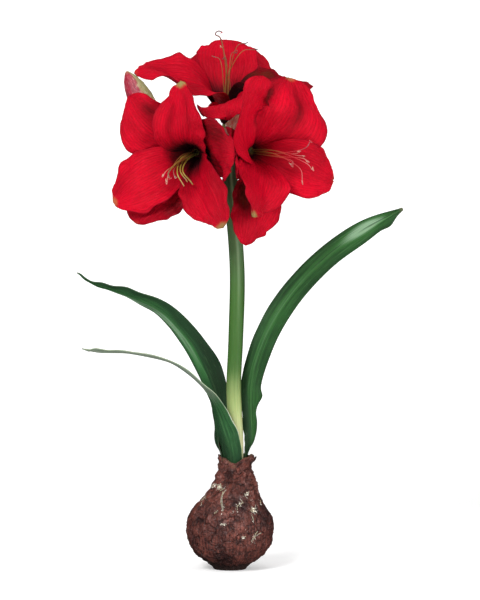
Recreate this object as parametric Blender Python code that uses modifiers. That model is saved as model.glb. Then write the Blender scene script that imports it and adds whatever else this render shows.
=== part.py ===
# A flowering amaryllis on its bare bulb. The bulb stands on its flat foot. Three strap
# leaves and one flower stem stand in the pocket of its neck. The stem's head carries
# three open blooms on short stalks, a closed bud and two papery bracts.
# Lengths below are in millimetres and angles in degrees, turned into metres when built.
# X runs to the right, Z up, and the blooms face mostly towards -Y.

import math

import bmesh
import bpy
import numpy as np

MM = 0.001
GAP = 0.3

# Bulb. Each pair is a height above the foot and the radius there, from neck to foot.
SKIN = ((114, 16.2), (104, 16.6), (94, 18.7), (84, 22), (74, 26.8), (64, 34), (54, 40.4),
        (43, 43.2), (33, 42.6), (24, 40), (13.5, 33))
BASAL_PLATE = ((13, 31.6), (8, 24.5), (3, 18.2))
FOOT_RADIUS = 16.5
POCKET_FLOOR = 92
POCKET_RADIUS = 15.3
BULB_SIDES = 36
SKIN_RINGS = 20
NECK_LEAN = 5.0
FOOT_SHIFT = -1.2
RIM_DIP = 6.5
RIM_WAVE = 1.2
SKIN_RIBS = (0.45, 0.3)
FLAP_TURN = 4
FLAP_OUT = 2.6
EDGE_DROP = (2.0, 1.2)

# Flower stem: centre line from the neck's pocket to the head, and its radius.
STEM_PATH = ((5.1, 0, 92.3), (4.7, 0, 135), (2.7, 0, 182), (4.6, 0, 230), (6.2, 0, 285),
             (4.4, 0, 328), (0.2, 0, 372), (-2, 0, 404), (-2, 0, 420))
STEM_RADIUS = 7.5
HEAD_RADIUS = 9.5
HEAD_TOP = 420
HEAD_LENGTH = 14
HEAD_EASE = 12
STEM_RINGS = 20
STEM_SIDES = 12

# Leaves: centre line from the pocket to the tip, half width, the angle by which the
# blade is rolled about its line, and half the angle of its gutter.
LEAVES = {
    "leaf_left": {
        "path": ((-8.2, 4, 92.7), (-9.2, 5, 114), (-15.6, 9, 131), (-14, 11, 172), (-33, 14, 216),
                 (-66, 20, 255), (-105, 26, 274), (-138, 31, 284), (-156.5, 33, 296)),
        "half": (7.4, 7.4, 9.3, 12.2, 12.4, 11.5, 10.5, 8, 1.5),
        "roll": (-24, -22, 2, 62, 72, 48, 28, 12, 8),
        "gutter": (48, 46, 42, 26, 22, 20, 20, 24, 10),
        "thick": 1.5,
        "colour": (0.045, 0.115, 0.045),
    },
    "leaf_front": {
        "path": ((0.6, -9.8, 92.7), (-0.6, -10.2, 118), (-6.5, -12, 140), (-14, -14, 163),
                 (-30, -15.5, 185), (-60, -19, 207), (-100, -22, 216), (-130, -24, 217.5),
                 (-147, -25, 220.5)),
        "half": (9.3, 11.5, 12, 10.5, 10, 10, 10, 7.5, 1.5),
        "roll": (68, 67, 62, 30, 9, 6, 6, 7, 8),
        "gutter": (52, 42, 34, 24, 16, 14, 14, 14, 10),
        "thick": 1.5,
        "colour": (0.22, 0.30, 0.20),
    },
    "leaf_right": {
        "path": ((14.8, 3.6, 92.7), (15.6, 4, 112), (20.4, 7.5, 130), (19.8, 10.5, 156), (21.2, 12.5, 187),
                 (35, 14, 231), (60, 16, 273), (96, 20, 311), (136, 24, 339.5), (174, 27, 361)),
        "half": (7.2, 7.4, 8.8, 9.2, 10.8, 11.8, 12, 11.5, 10.5, 1.5),
        "roll": (197, 188, 136, 122, 104, 96, 94, 92, 88, 84),
        "gutter": (50, 48, 36, 28, 24, 22, 20, 18, 18, 10),
        "thick": 1.5,
        "colour": (0.055, 0.145, 0.05),
    },
}
LEAF_ROWS = 23
BRACT_ROWS = 12
STRAP_COLUMNS = 4

# Blooms: where the tepals spring from, and where the flower faces. Each tepal has its
# turn round the flower, its length and width, how far its midrib opens from the
# flower's axis at five places from claw to tip, how it sways and twists at its claw,
# middle and tip, and half the angle of its hollow at five places.
BLOOMS = {
    "left": {
        "base": (-31, -25, 416),
        "facing": (-0.43, -0.86, -0.28),
        "inner": (
            {"turn": 88, "length": 111, "width": 57, "opens": (12, 20, 52, 85, 108),
             "sways": (0, -16, 0), "twists": (0, 5, -37), "cups": (75, 56, 37, 4, 15)},
            {"turn": 208, "length": 101, "width": 59, "opens": (15, 30, 52, 70, 76),
             "sways": (1, -3, 3), "twists": (-1, 12, 36), "cups": (75, 42, 18, -2, 2)},
            {"turn": 309, "length": 108, "width": 59, "opens": (16, 27, 46, 71, 95),
             "sways": (1, 5, -16), "twists": (0, 5, 23), "cups": (75, 44, 27, -4, 8)},
        ),
        "outer": (
            {"turn": 140, "length": 94, "width": 63, "opens": (27, 42, 59, 87, 128),
             "sways": (1, -10, -22), "twists": (-1, 0, -11), "cups": (69, 44, 2, 5, -33)},
            {"turn": 241, "length": 93, "width": 61, "opens": (27, 38, 49, 55, 70),
             "sways": (0, -16, 8), "twists": (0, -6, 18), "cups": (69, 44, 3, 11, 5)},
            {"turn": 12, "length": 106, "width": 65, "opens": (29, 37, 42, 49, 71),
             "sways": (1, 3, -23), "twists": (0, 9, -8), "cups": (69, 44, 9, 9, -2)},
        ),
        "stalk": ((-6.6, -2.6), (-12, -5.5, 431), (-19, -8, 428)),
        "filaments": ((-65, -80, 386), (-56, -78, 391), (-63, -82, 380), (-50, -80, 378), (-44, -77, 381),
                      (-38, -74, 388)),
        "style": (-58, -92, 384),
    },
    "right": {
        "base": (15, -25, 416),
        "facing": (0.66, -0.73, -0.12),
        "inner": (
            {"turn": 155, "length": 118, "width": 60, "opens": (9, 55, 68, 32, 44),
             "sways": (31, -34, -60), "twists": (19, 4, -56), "cups": (82, 45, 11, 33, -8)},
            {"turn": 346, "length": 96, "width": 54, "opens": (8, 23, 45, 71, 98),
             "sways": (-2, -6, 3), "twists": (0, 12, -9), "cups": (75, 45, 11, 1, -5)},
            {"turn": 246, "length": 100, "width": 62, "opens": (13, 30, 46, 62, 97),
             "sways": (0, -16, 4), "twists": (-1, 10, -33), "cups": (75, 43, 32, -23, 28)},
        ),
        "outer": (
            {"turn": 61, "length": 99, "width": 85, "opens": (5, 37, 68, 116, 136),
             "sways": (0, 5, 27), "twists": (-4, -16, -7), "cups": (70, 12, 15, -27, 35)},
            {"turn": 280, "length": 101, "width": 62, "opens": (33, 54, 66, 72, 100),
             "sways": (1, -36, -18), "twists": (0, -10, -13), "cups": (67, 39, 14, -11, -17)},
            {"turn": 191, "length": 95, "width": 51, "opens": (36, 50, 52, 41, 32),
             "sways": (-2, -9, 37), "twists": (-2, 17, -1), "cups": (68, 43, 9, 0, 1)},
        ),
        "stalk": ((2.2, -3.2), (2, -7, 426)),
        "filaments": ((67, -80, 411), (70, -80, 407), (79, -80, 393), (69, -80, 382), (60, -78, 397),
                      (74, -80, 402)),
        "style": (77, -84, 421),
    },
    "top": {
        "base": (-4, 10, 446),
        "facing": (0, -0.25, 0.97),
        "inner": (
            {"turn": 89, "length": 107, "width": 59, "opens": (11, 19, 36, 61, 86),
             "sways": (1, -1, 4), "twists": (0, 2, 4), "cups": (75, 47, 17, -6, -20)},
            {"turn": 239, "length": 120, "width": 69, "opens": (7, 34, 68, 63, 126),
             "sways": (-1, -35, -48), "twists": (4, -46, 7), "cups": (75, 40, 23, 17, -19)},
            {"turn": 342, "length": 115, "width": 57, "opens": (6, 23, 78, 109, 137),
             "sways": (-10, 8, 24), "twists": (-5, -4, 10), "cups": (75, 53, 11, -9, 8)},
        ),
        "outer": (
            {"turn": 137, "length": 110, "width": 62, "opens": (25, 34, 54, 92, 134),
             "sways": (-2, -9, 0), "twists": (1, -14, -8), "cups": (69, 44, 12, 27, -12)},
            {"turn": 279, "length": 105, "width": 49, "opens": (27, 62, 80, 98, 114),
             "sways": (6, -21, 9), "twists": (0, 20, -5), "cups": (69, 80, -2, 9, -30)},
            {"turn": 42, "length": 112, "width": 62, "opens": (18, 28, 51, 96, 143),
             "sways": (4, 25, -21), "twists": (-1, 23, 43), "cups": (70, 43, 24, 10, -2)},
        ),
        "stalk": ((0.3, 4.7), (-1, 8, 427)),
        "filaments": ((-10, -10, 521), (16, -8, 525), (26, -8, 518), (-18, -8, 511), (-5, -12, 509),
                      (4, -10, 516)),
        "style": (-10, -14, 534),
    },
}
CLAW_HALF_WIDTH = 4.5
WIDEST_AT = 0.56
INNER_ROOT = 5.5
OUTER_ROOT = 6.7
ROOT_RISE = 2.0
EDGE_WAVE = 3.0
TEPAL_THICK = 0.8
TEPAL_ROWS = 9
TEPAL_COLUMNS = 6
THROAT_RADII = (5.5, 8.6)
THROAT_LENGTH = 5.5

# Stalks and ovaries behind the blooms, and the stamens in their throats.
STALK_RADIUS = 2.8
OVARY_RADIUS = 5.4
OVARY_LENGTH = 15
STAMEN_RING_RADIUS = 3.2
STAMEN_RING_LENGTH = 2.0
FILAMENT_RADIUS = 0.7
ANTHER_LENGTH = 5.0
ANTHER_RADIUS = 1.3
ANTHER_TIP_RADIUS = 0.6
FILAMENT_SPREAD = 1.9
FILAMENT_RINGS = 6

# Closed bud, from its base to its tip.
BUD_BASE = (-72, 38, 436)
BUD_TIP = (-107, 42, 502)
BUD_RADIUS = 12.5
BUD_RINGS = 12
BUD_SIDES = 18
BUD_STALK = ((-5.6, 4), (-14, 10, 431), (-36, 24, 434), (-58, 33, 430))

# Papery bracts below the umbel, laid out like the leaves.
BRACTS = {
    "spathe_front": {
        "path": ((-2, -10.3, 408), (-2.4, -11.3, 416), (-4.2, -12.4, 426), (-1, -13.5, 438), (6, -13, 450),
                 (12, -12, 461)),
        "half": (6, 5, 4, 6, 5, 1),
        "roll": (90, 90, 90, 90, 80, 70),
        "gutter": (32, 30, 26, 20, 20, 10),
        "thick": 0.7,
        "colour": (0.55, 0.42, 0.36),
    },
    "spathe_back": {
        "path": ((-2, 10.3, 408), (-1.8, 12, 416), (-1, 22, 424), (1, 34, 421), (3, 43, 408), (4, 47, 390)),
        "half": (7, 9, 9, 8, 6, 1),
        "roll": (-90, -90, -90, -86, -80, -72),
        "gutter": (32, 34, 34, 30, 24, 10),
        "thick": 0.7,
        "colour": (0.55, 0.42, 0.36),
    },
}

plant = bpy.data.collections.new("amaryllis")


def unit(vectors):
    vectors = np.asarray(vectors, float)
    return vectors / np.linalg.norm(vectors, axis=-1, keepdims=True)


def eased(value):
    value = np.clip(value, 0, 1)
    return value * value * (3 - 2 * value)


def along(share, stops):
    """Smooth values through evenly spaced stops, at shares from 0 to 1 of the way."""
    stops = np.asarray(stops, float)
    last = len(stops) - 1
    place = np.clip(np.asarray(share, float), 0, 1) * last
    first = np.clip(place.astype(int), 0, last - 1)
    part = place - first
    padded = np.concatenate([[2 * stops[0] - stops[1]], stops, [2 * stops[-1] - stops[-2]]])
    if stops.ndim > 1:
        part = part[..., None]
    a, b, c, d = (padded[first + step] for step in range(4))
    bend = (2 * a - 5 * b + 4 * c - d) * part**2 + (3 * b - a - 3 * c + d) * part**3
    return 0.5 * (2 * b + (c - a) * part + bend)


def make_material(name, colour, roughness=0.5):
    material = bpy.data.materials.new(name)
    material.use_nodes = True
    shader = material.node_tree.nodes["Principled BSDF"]
    shader.inputs["Base Color"].default_value = (*colour, 1)
    shader.inputs["Roughness"].default_value = roughness
    material.diffuse_color = (*colour, 1)
    return material


def add_object(name, data, material=None):
    made = bpy.data.objects.new(name, data)
    plant.objects.link(made)
    if material:
        data.materials.append(material)
    return made


def add_mesh(name, points, faces, material=None):
    mesh = bpy.data.meshes.new(name)
    mesh.from_pydata((np.asarray(points) * MM).tolist(), [], faces)
    mesh.update()
    return add_object(name, mesh, material)


def apply_modifiers(made):
    """Replaces the object's mesh with what its modifiers make of it."""
    graph = bpy.context.evaluated_depsgraph_get()
    graph.update()
    old = made.data
    made.data = bpy.data.meshes.new_from_object(made.evaluated_get(graph))
    made.modifiers.clear()
    bpy.data.meshes.remove(old)


def mesh_from_curve(curve_object):
    """Makes a mesh object from a curve, with the loose caps welded to the sides."""
    graph = bpy.context.evaluated_depsgraph_get()
    graph.update()
    mesh = bpy.data.meshes.new_from_object(curve_object.evaluated_get(graph))
    made = add_object(curve_object.name + "_mesh", mesh)
    made.matrix_world = curve_object.matrix_world
    weld = made.modifiers.new("caps", "WELD")
    weld.merge_threshold = 0.00001
    apply_modifiers(made)
    bpy.data.objects.remove(curve_object)
    return made


def grid_faces(rows, columns):
    corner = np.arange(rows)[:, None] * (columns + 1) + np.arange(columns)
    quads = np.stack([corner, corner + columns + 1, corner + columns + 2, corner + 1], -1)
    return quads.reshape(-1, 4).tolist()


def add_blade(name, points, thickness, material=None):
    """A thin sheet through a grid of points, cut into like triangles on both its faces."""
    rows, columns = points.shape[0] - 1, points.shape[1] - 1
    made = add_mesh(name, points.reshape(-1, 3), grid_faces(rows, columns), material)
    split = made.modifiers.new("triangles", "TRIANGULATE")
    split.quad_method = "FIXED"
    shell = made.modifiers.new("thickness", "SOLIDIFY")
    shell.thickness = thickness * MM
    shell.offset = 0
    return made


def add_tube(name, path, radii, sides, material=None):
    """A round tube through the path's points, with a radius at each and flat ends."""
    curve = bpy.data.curves.new(name, "CURVE")
    curve.dimensions = "3D"
    curve.bevel_depth = MM
    curve.bevel_resolution = (sides - 4) // 2
    curve.use_fill_caps = True
    line = curve.splines.new("POLY")
    line.points.add(len(path) - 1)
    for point, place, radius in zip(line.points, path, radii):
        point.co = (*(np.asarray(place) * MM), 1)
        point.radius = radius
    return add_object(name, curve, material)


def keep_largest_shell(mesh):
    """Drops the loose scraps and the walls of sealed hollows that a union leaves."""
    shells = []
    work = bmesh.new()
    work.from_mesh(mesh)
    waiting = set(work.faces)
    while waiting:
        shell = set()
        edge = [waiting.pop()]
        while edge:
            face = edge.pop()
            shell.add(face)
            shared = [side.link_faces for side in face.edges if len(side.link_faces) == 2]
            beside = {other for pair in shared for other in pair} & waiting
            waiting -= beside
            edge.extend(beside)
        shells.append(shell)
    shells.sort(key=len)
    scraps = [face for shell in shells[:-1] for face in shell]
    bmesh.ops.delete(work, geom=scraps, context="FACES")
    work.to_mesh(mesh)
    work.free()


def fuse(base, pieces):
    """Joins the pieces to the base with one Boolean union and removes them."""
    group = bpy.data.collections.new(base.name + "_pieces")
    bpy.context.scene.collection.children.link(group)
    for piece in pieces:
        plant.objects.unlink(piece)
        group.objects.link(piece)
    union = base.modifiers.new("union", "BOOLEAN")
    union.operation = "UNION"
    union.operand_type = "COLLECTION"
    union.collection = group
    apply_modifiers(base)
    for piece in pieces:
        bpy.data.objects.remove(piece)
    bpy.data.collections.remove(group)
    keep_largest_shell(base.data)


def skin_profile():
    """The bulb's section: pocket floor, pocket wall and rim, then down the outer skin."""
    rim = SKIN[0][0]
    floor = [(0, POCKET_FLOOR), (POCKET_RADIUS - 1, POCKET_FLOOR)]
    wall = [(POCKET_RADIUS, POCKET_FLOOR + 8), (POCKET_RADIUS, rim)]
    skin = along(np.linspace(0, 1, SKIN_RINGS), SKIN)
    outside = [(radius, height) for height, radius in skin]
    plate = [(radius, height) for height, radius in BASAL_PLATE]
    return floor + wall + outside + plate + [(FOOT_RADIUS, 0), (0, 0)]


def shape_bulb(points):
    """Leans the neck, waves the skin's rim and lower edge, and ribs the skin lengthwise."""
    x, y, z = (points / MM).T
    azimuth = np.arctan2(y, x)
    radius = np.hypot(x, y)
    outside = eased((radius - 0.5 * POCKET_RADIUS) / 4) * eased((z - 0.5) / 6)
    front = np.exp(-((np.degrees(azimuth) + 92) / 38) ** 2)
    torn = np.exp(-((np.degrees(azimuth) - FLAP_TURN) / 16) ** 2)
    ribs = SKIN_RIBS[0] * np.sin(7 * azimuth + 1) + SKIN_RIBS[1] * np.sin(12 * azimuth + 2.5)
    radius = radius + outside * eased((104 - z) / 12) * ribs
    radius = radius + torn * FLAP_OUT * eased((z - 100) / 13) * (radius > POCKET_RADIUS + 0.2)
    lower_edge = eased((z - 4) / 8) * eased((34 - z) / 18)
    drop = EDGE_DROP[0] * np.cos(azimuth) + EDGE_DROP[1] * np.cos(5 * azimuth) - 1.5
    z = z - lower_edge * drop
    z = z - eased((z - 98) / 16) * (RIM_DIP * front + RIM_WAVE * np.sin(3 * azimuth) ** 2)
    x = radius * np.cos(azimuth) + FOOT_SHIFT + NECK_LEAN * eased((z - 56) / 36)
    y = radius * np.sin(azimuth)
    return np.stack([x, y, z], -1) * MM


def build_bulb():
    profile = [(radius, 0, height) for radius, height in skin_profile()]
    edges = [(i, i + 1) for i in range(len(profile) - 1)]
    mesh = bpy.data.meshes.new("bulb")
    mesh.from_pydata((np.asarray(profile) * MM).tolist(), edges, [])
    bulb = add_object("bulb", mesh, make_material("bulb_skin", (0.085, 0.033, 0.022), 0.42))
    turned = bulb.modifiers.new("turned", "SCREW")
    turned.steps = BULB_SIDES
    turned.render_steps = BULB_SIDES
    turned.use_merge_vertices = True
    turned.merge_threshold = 0.00005
    apply_modifiers(bulb)
    count = len(bulb.data.vertices)
    points = np.empty(count * 3)
    bulb.data.vertices.foreach_get("co", points)
    bulb.data.vertices.foreach_set("co", shape_bulb(points.reshape(-1, 3)).ravel())
    bulb.data.update()


def build_stem():
    path = along(np.linspace(0, 1, STEM_RINGS + 1), STEM_PATH)
    swelling = eased((path[:, 2] - HEAD_TOP + HEAD_LENGTH + HEAD_EASE) / HEAD_EASE)
    radii = STEM_RADIUS + (HEAD_RADIUS - STEM_RADIUS) * swelling
    green = make_material("stem_green", (0.12, 0.22, 0.075), 0.45)
    add_tube("scape", path, radii, STEM_SIDES, green)


def strap_points(shape, rows, columns):
    """Points of a strap: at each place on its line, an arc across it, rolled about it."""
    share = np.linspace(0, 1, rows + 1)
    line = along(share, shape["path"])
    ahead = unit(np.gradient(along(np.linspace(0, 1, 20 * rows + 1), shape["path"]), axis=0)[::20])
    away = np.array([0, 1.0, 0])
    side = unit(away - ahead * (ahead @ away)[:, None])
    other = np.cross(ahead, side)
    roll = np.radians(along(share, shape["roll"]))[:, None]
    across = np.cos(roll) * side + np.sin(roll) * other
    normal = np.cross(across, ahead)
    half = np.maximum(along(share, shape["half"]), 0.8)
    return arc_points(line, across, normal, half, np.radians(along(share, shape["gutter"])), columns)


def arc_points(line, across, normal, half, bend, columns):
    """Rows of points on arcs of the given half lengths, bent towards the normal."""
    bend = np.where(np.abs(bend) < 0.001, 0.001, bend)[:, None]
    radius = half[:, None] / bend
    angle = bend * np.linspace(-1, 1, columns + 1)
    sideways = (radius * np.sin(angle))[..., None]
    up = (radius * (1 - np.cos(angle)))[..., None]
    return line[:, None] + across[:, None] * sideways + normal[:, None] * up


def build_strap(name, shape):
    rows = LEAF_ROWS if name in LEAVES else BRACT_ROWS
    points = strap_points(shape, rows, STRAP_COLUMNS)
    add_blade(name, points, shape["thick"], make_material(name + "_colour", shape["colour"], 0.4))


def flower_frame(facing):
    axis = unit(facing)
    right = unit(np.cross([0, 0, 1], axis))
    return axis, right, np.cross(axis, right)


def tepal_half_width(share, width):
    """Grows from the claw to the widest place, then closes to a pointed tip."""
    grown = CLAW_HALF_WIDTH + (width / 2 - CLAW_HALF_WIDTH) * eased(share / WIDEST_AT) ** 0.85
    past = np.clip((share - WIDEST_AT) / (1 - WIDEST_AT), 0, 1)
    return grown * (1 - past**2.4) ** (1 / 1.7) + 0.6


def tepal_points(bloom, tepal, root, rows, columns):
    """Points of a tepal: its midrib is stepped out from the claw, turning as it opens."""
    axis, right, up = flower_frame(bloom["facing"])
    turn = math.radians(tepal["turn"])
    outward = math.cos(turn) * right + math.sin(turn) * up
    sideways = math.cos(turn) * up - math.sin(turn) * right
    steps = 20 * rows
    fine = np.linspace(0, 1, steps + 1)
    opened = np.radians(along(fine, tepal["opens"]))[:, None]
    sway = np.radians(along(fine, tepal["sways"]))[:, None]
    twist = np.radians(along(fine, tepal["twists"]))[:, None]
    leading = np.cos(opened) * axis + np.sin(opened) * outward
    inward = np.sin(opened) * axis - np.cos(opened) * outward
    ahead = np.cos(sway) * leading + np.sin(sway) * sideways
    level = np.cos(sway) * sideways - np.sin(sway) * leading
    across = np.cos(twist) * level + np.sin(twist) * inward
    normal = np.cos(twist) * inward - np.sin(twist) * level
    start = np.asarray(bloom["base"]) + outward * root + axis * ROOT_RISE
    stride = (ahead[1:] + ahead[:-1]) / 2 * tepal["length"] / steps
    line = start + np.concatenate([np.zeros((1, 3)), np.cumsum(stride, axis=0)])
    share = np.linspace(0, 1, rows + 1)
    half = tepal_half_width(share, tepal["width"])
    bend = np.radians(along(share, tepal["cups"]))
    points = arc_points(line[::20], across[::20], normal[::20], half, bend, columns)
    place = np.linspace(-1, 1, columns + 1)
    height = EDGE_WAVE * np.clip((share - 0.25) / 0.3, 0, 1) * (half / half.max()) ** 1.5
    phase = 4 * math.pi * share[:, None] + 1.1 * np.sign(place)
    wave = height[:, None] * np.abs(place) ** 2.2 * np.sin(phase)
    return points + normal[::20][:, None] * wave[..., None]


def add_collar(start, end, radii, sides, name, material):
    """A short solid cone between two points, renamed as the node that it begins."""
    collar = mesh_from_curve(add_tube("collar", [start, end], radii, sides))
    collar.name = name
    collar.data.materials.append(material)
    return collar


def build_bloom(name, bloom, red):
    """Six tepals, their claws sunk into a short throat and fused with it."""
    axis = flower_frame(bloom["facing"])[0]
    base = np.asarray(bloom["base"], float)
    end = base + axis * THROAT_LENGTH
    throat = add_collar(base, end, THROAT_RADII, 16, "bloom_" + name, red)
    blades = []
    for ring, root in (("inner", INNER_ROOT), ("outer", OUTER_ROOT)):
        for tepal in bloom[ring]:
            points = tepal_points(bloom, tepal, root, TEPAL_ROWS, TEPAL_COLUMNS)
            blades.append(add_blade("tepal", points, TEPAL_THICK))
    fuse(throat, blades)


def build_stalk(name, foot, bends, base, axis, green):
    """A bent stalk from the head of the stem that swells into the ovary behind a flower."""
    start = (*foot, HEAD_TOP + GAP)
    ovary = [base - axis * (GAP + OVARY_LENGTH * share) for share in (1, 0.82, 0.6, 0.3, 0)]
    line = along(np.linspace(0, 1, 7), (start, *bends, ovary[0]))
    path = [start, (start[0], start[1], start[2] + 2), *line[1:-1], *ovary]
    thick = (STALK_RADIUS, 0.72 * OVARY_RADIUS, OVARY_RADIUS, OVARY_RADIUS, 0.88 * OVARY_RADIUS)
    radii = [STALK_RADIUS] * (len(path) - len(ovary)) + list(thick)
    add_tube("pedicel_" + name, path, radii, 8, green)


def build_stamens(name, bloom, red):
    """Six filaments with anthers and the longer style, all springing from one small ring."""
    axis, right, up = flower_frame(bloom["facing"])
    base = np.asarray(bloom["base"], float)
    start = base + axis * (THROAT_LENGTH + GAP)
    end = start + axis * STAMEN_RING_LENGTH
    ring = add_collar(start, end, (STAMEN_RING_RADIUS,) * 2, 12, "stamens_" + name, red)
    foot = start + axis * 0.4 * STAMEN_RING_LENGTH
    tubes = []
    for number, tip in enumerate((*bloom["filaments"], bloom["style"])):
        turn = math.radians(60 * number)
        spread = FILAMENT_SPREAD if number < 6 else 0
        out = (math.cos(turn) * right + math.sin(turn) * up) * spread
        tip = np.asarray(tip, float)
        reach = np.linalg.norm(tip - base)
        middle = base + axis * 0.5 * reach + out * 1.6
        late = 0.55 * (base + axis * 0.85 * reach) + 0.45 * tip
        path = along(np.linspace(0, 1, FILAMENT_RINGS + 1), (foot + out, middle, late, tip))
        radii = [FILAMENT_RADIUS] * len(path)
        tubes.append(mesh_from_curve(add_tube("filament", path, radii, 6)))
        if number < 6:
            ahead = unit(path[-1] - path[-2])
            across = unit(np.cross(ahead, [0, 0, 1]) + 0.3 * up)
            ends = [tip + across * ANTHER_LENGTH * share for share in (-0.5, 0, 0.5)]
            radii = [ANTHER_TIP_RADIUS, ANTHER_RADIUS, ANTHER_TIP_RADIUS]
            anther = add_tube("anther", ends, radii, 6)
            tubes.append(mesh_from_curve(anther))
    fuse(ring, tubes)


def build_bud(green):
    """A closed flower: six tepals folded round each other into one ribbed, pointed spindle."""
    base, tip = np.asarray(BUD_BASE, float), np.asarray(BUD_TIP, float)
    axis = unit(tip - base)
    right = unit(np.cross([0, 1, 0], axis))
    up = np.cross(axis, right)
    share = np.linspace(0, 1, BUD_RINGS + 1)[:, None]
    turn = np.linspace(0, 2 * math.pi, BUD_SIDES + 1)[:-1]
    body = 0.4 + 0.6 * eased(share / 0.45)
    body = body * (1 - np.clip((share - 0.5) / 0.5, 0, 1) ** 2.2) ** 0.75 + 0.05
    ribs = 1 + 0.06 * np.cos(3 * turn + 2.2 * share) + 0.03 * np.cos(6 * turn)
    radius = BUD_RADIUS * body * ribs
    centre = base + (tip - base) * share
    outward = np.cos(turn)[:, None] * right + np.sin(turn)[:, None] * up
    points = centre[:, None] + radius[..., None] * outward
    ring = np.arange(BUD_SIDES)
    near = np.arange(BUD_RINGS)[:, None] * BUD_SIDES + ring
    beside = np.roll(near, -1, axis=1)
    quads = np.stack([near, beside, beside + BUD_SIDES, near + BUD_SIDES], -1)
    faces = quads.reshape(-1, 4).tolist()
    faces += [ring[::-1].tolist(), (BUD_RINGS * BUD_SIDES + ring).tolist()]
    material = make_material("bud_red", (0.42, 0.07, 0.09), 0.45)
    add_mesh("bud", points.reshape(-1, 3), faces, material)
    build_stalk("bud", BUD_STALK[0], BUD_STALK[1:], base, axis, green)


def build():
    for old in list(bpy.data.objects):
        bpy.data.objects.remove(old)
    bpy.context.scene.collection.children.link(plant)
    build_bulb()
    build_stem()
    for name, shape in {**LEAVES, **BRACTS}.items():
        build_strap(name, shape)
    green = make_material("stalk_green", (0.16, 0.27, 0.08), 0.45)
    red = make_material("petal_red", (0.62, 0.012, 0.03), 0.4)
    pale = make_material("filament_red", (0.55, 0.09, 0.08), 0.45)
    for name, bloom in BLOOMS.items():
        axis = flower_frame(bloom["facing"])[0]
        foot, *bends = bloom["stalk"]
        build_stalk(name, foot, bends, np.asarray(bloom["base"], float), axis, green)
        build_bloom(name, bloom, red)
        build_stamens(name, bloom, pale)
    build_bud(green)
    for made in plant.objects:
        if made.type == "MESH":
            made.data.shade_smooth()
            made.data.set_sharp_from_angle(angle=math.radians(50))


build()
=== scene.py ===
import math

import bpy
import numpy as np
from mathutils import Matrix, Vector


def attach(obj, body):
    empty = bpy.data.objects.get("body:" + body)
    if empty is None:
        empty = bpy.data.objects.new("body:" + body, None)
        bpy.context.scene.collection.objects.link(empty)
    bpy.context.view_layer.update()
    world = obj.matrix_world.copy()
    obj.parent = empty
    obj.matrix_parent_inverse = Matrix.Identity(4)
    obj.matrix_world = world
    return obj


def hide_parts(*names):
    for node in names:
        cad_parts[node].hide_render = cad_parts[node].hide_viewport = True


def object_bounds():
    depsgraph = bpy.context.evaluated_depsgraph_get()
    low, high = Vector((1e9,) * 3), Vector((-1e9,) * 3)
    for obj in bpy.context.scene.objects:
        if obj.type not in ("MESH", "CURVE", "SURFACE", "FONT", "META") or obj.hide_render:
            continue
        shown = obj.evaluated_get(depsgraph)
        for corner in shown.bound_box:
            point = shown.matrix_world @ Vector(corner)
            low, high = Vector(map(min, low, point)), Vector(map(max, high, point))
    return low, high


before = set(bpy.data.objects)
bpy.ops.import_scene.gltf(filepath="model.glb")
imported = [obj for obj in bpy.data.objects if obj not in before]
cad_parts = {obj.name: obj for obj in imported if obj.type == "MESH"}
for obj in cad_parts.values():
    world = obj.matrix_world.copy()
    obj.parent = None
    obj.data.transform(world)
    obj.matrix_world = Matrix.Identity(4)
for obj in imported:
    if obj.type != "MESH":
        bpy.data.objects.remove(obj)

cadBox = [list(corner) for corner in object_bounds()]    # lowest and highest corner of the solids
mm = 0.001                                           # sizes below are in mm and angles in degrees
fullTurn = 2 * math.pi


# numbers and smooth curves

def unit(vectors):
    vectors = np.asarray(vectors, float)
    return vectors / np.linalg.norm(vectors, axis=-1, keepdims=True)


def eased(value):                                    # 3v^2 - 2v^3 between 0 and 1
    value = np.clip(value, 0, 1)
    return value * value * (3 - 2 * value)


def hump(value, middle, size):                       # 1 in the middle, down to 0 on both sides
    return np.exp(-((value - middle) / size) ** 2)


def smoothAlong(share, stops):                       # cubic curve through evenly spaced stops
    stops = np.asarray(stops, float)
    last = len(stops) - 1
    place = np.clip(np.asarray(share, float), 0, 1) * last
    first = np.clip(place.astype(int), 0, last - 1)
    part = place - first
    padded = np.concatenate([[2 * stops[0] - stops[1]], stops, [2 * stops[-1] - stops[-2]]])
    if stops.ndim > 1:
        part = part[..., None]
    a, b, c, d = (padded[first + step] for step in range(4))
    bend = (2 * a - 5 * b + 4 * c - d) * part**2 + (3 * b - a - 3 * c + d) * part**3
    return 0.5 * (2 * b + (c - a) * part + bend)


def ripple(places, size, seed, waves=20):            # sum of sines about size long, in seeded directions
    draw = np.random.default_rng(seed)
    places = np.asarray(places, float)
    ways = unit(draw.normal(size=(waves, places.shape[-1])))
    ways = ways * fullTurn / size * draw.uniform(0.6, 1.5, (waves, 1))
    phases = draw.uniform(0, fullTurn, waves)
    return np.sin(places @ ways.T + phases).sum(-1) / math.sqrt(waves)


def spots(share, place, marks):                      # each spot's height times a hump along and one across
    total = 0 * share * place
    for at, beside, long, wide, height in marks:
        total = total + height * hump(share, at, long) * hump(place, beside, wide)
    return total


def rims(share, place, marks):                       # a margin's way out: a hump along times place squared
    total = 0 * share * place
    for at, side, long, out in marks:
        total = total + side * out * hump(share, at, long) * np.clip(side * place, 0, 1) ** 2
    return total


def together(*fields):                               # fields of matching shapes as one field of vectors
    return np.stack(np.broadcast_arrays(*fields), -1)


def foldedTurn(turn):                                # 0 to 1 and back, so that a pattern meets itself
    return np.abs(turn / math.pi - 1)


# closed meshes from grids of points

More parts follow.
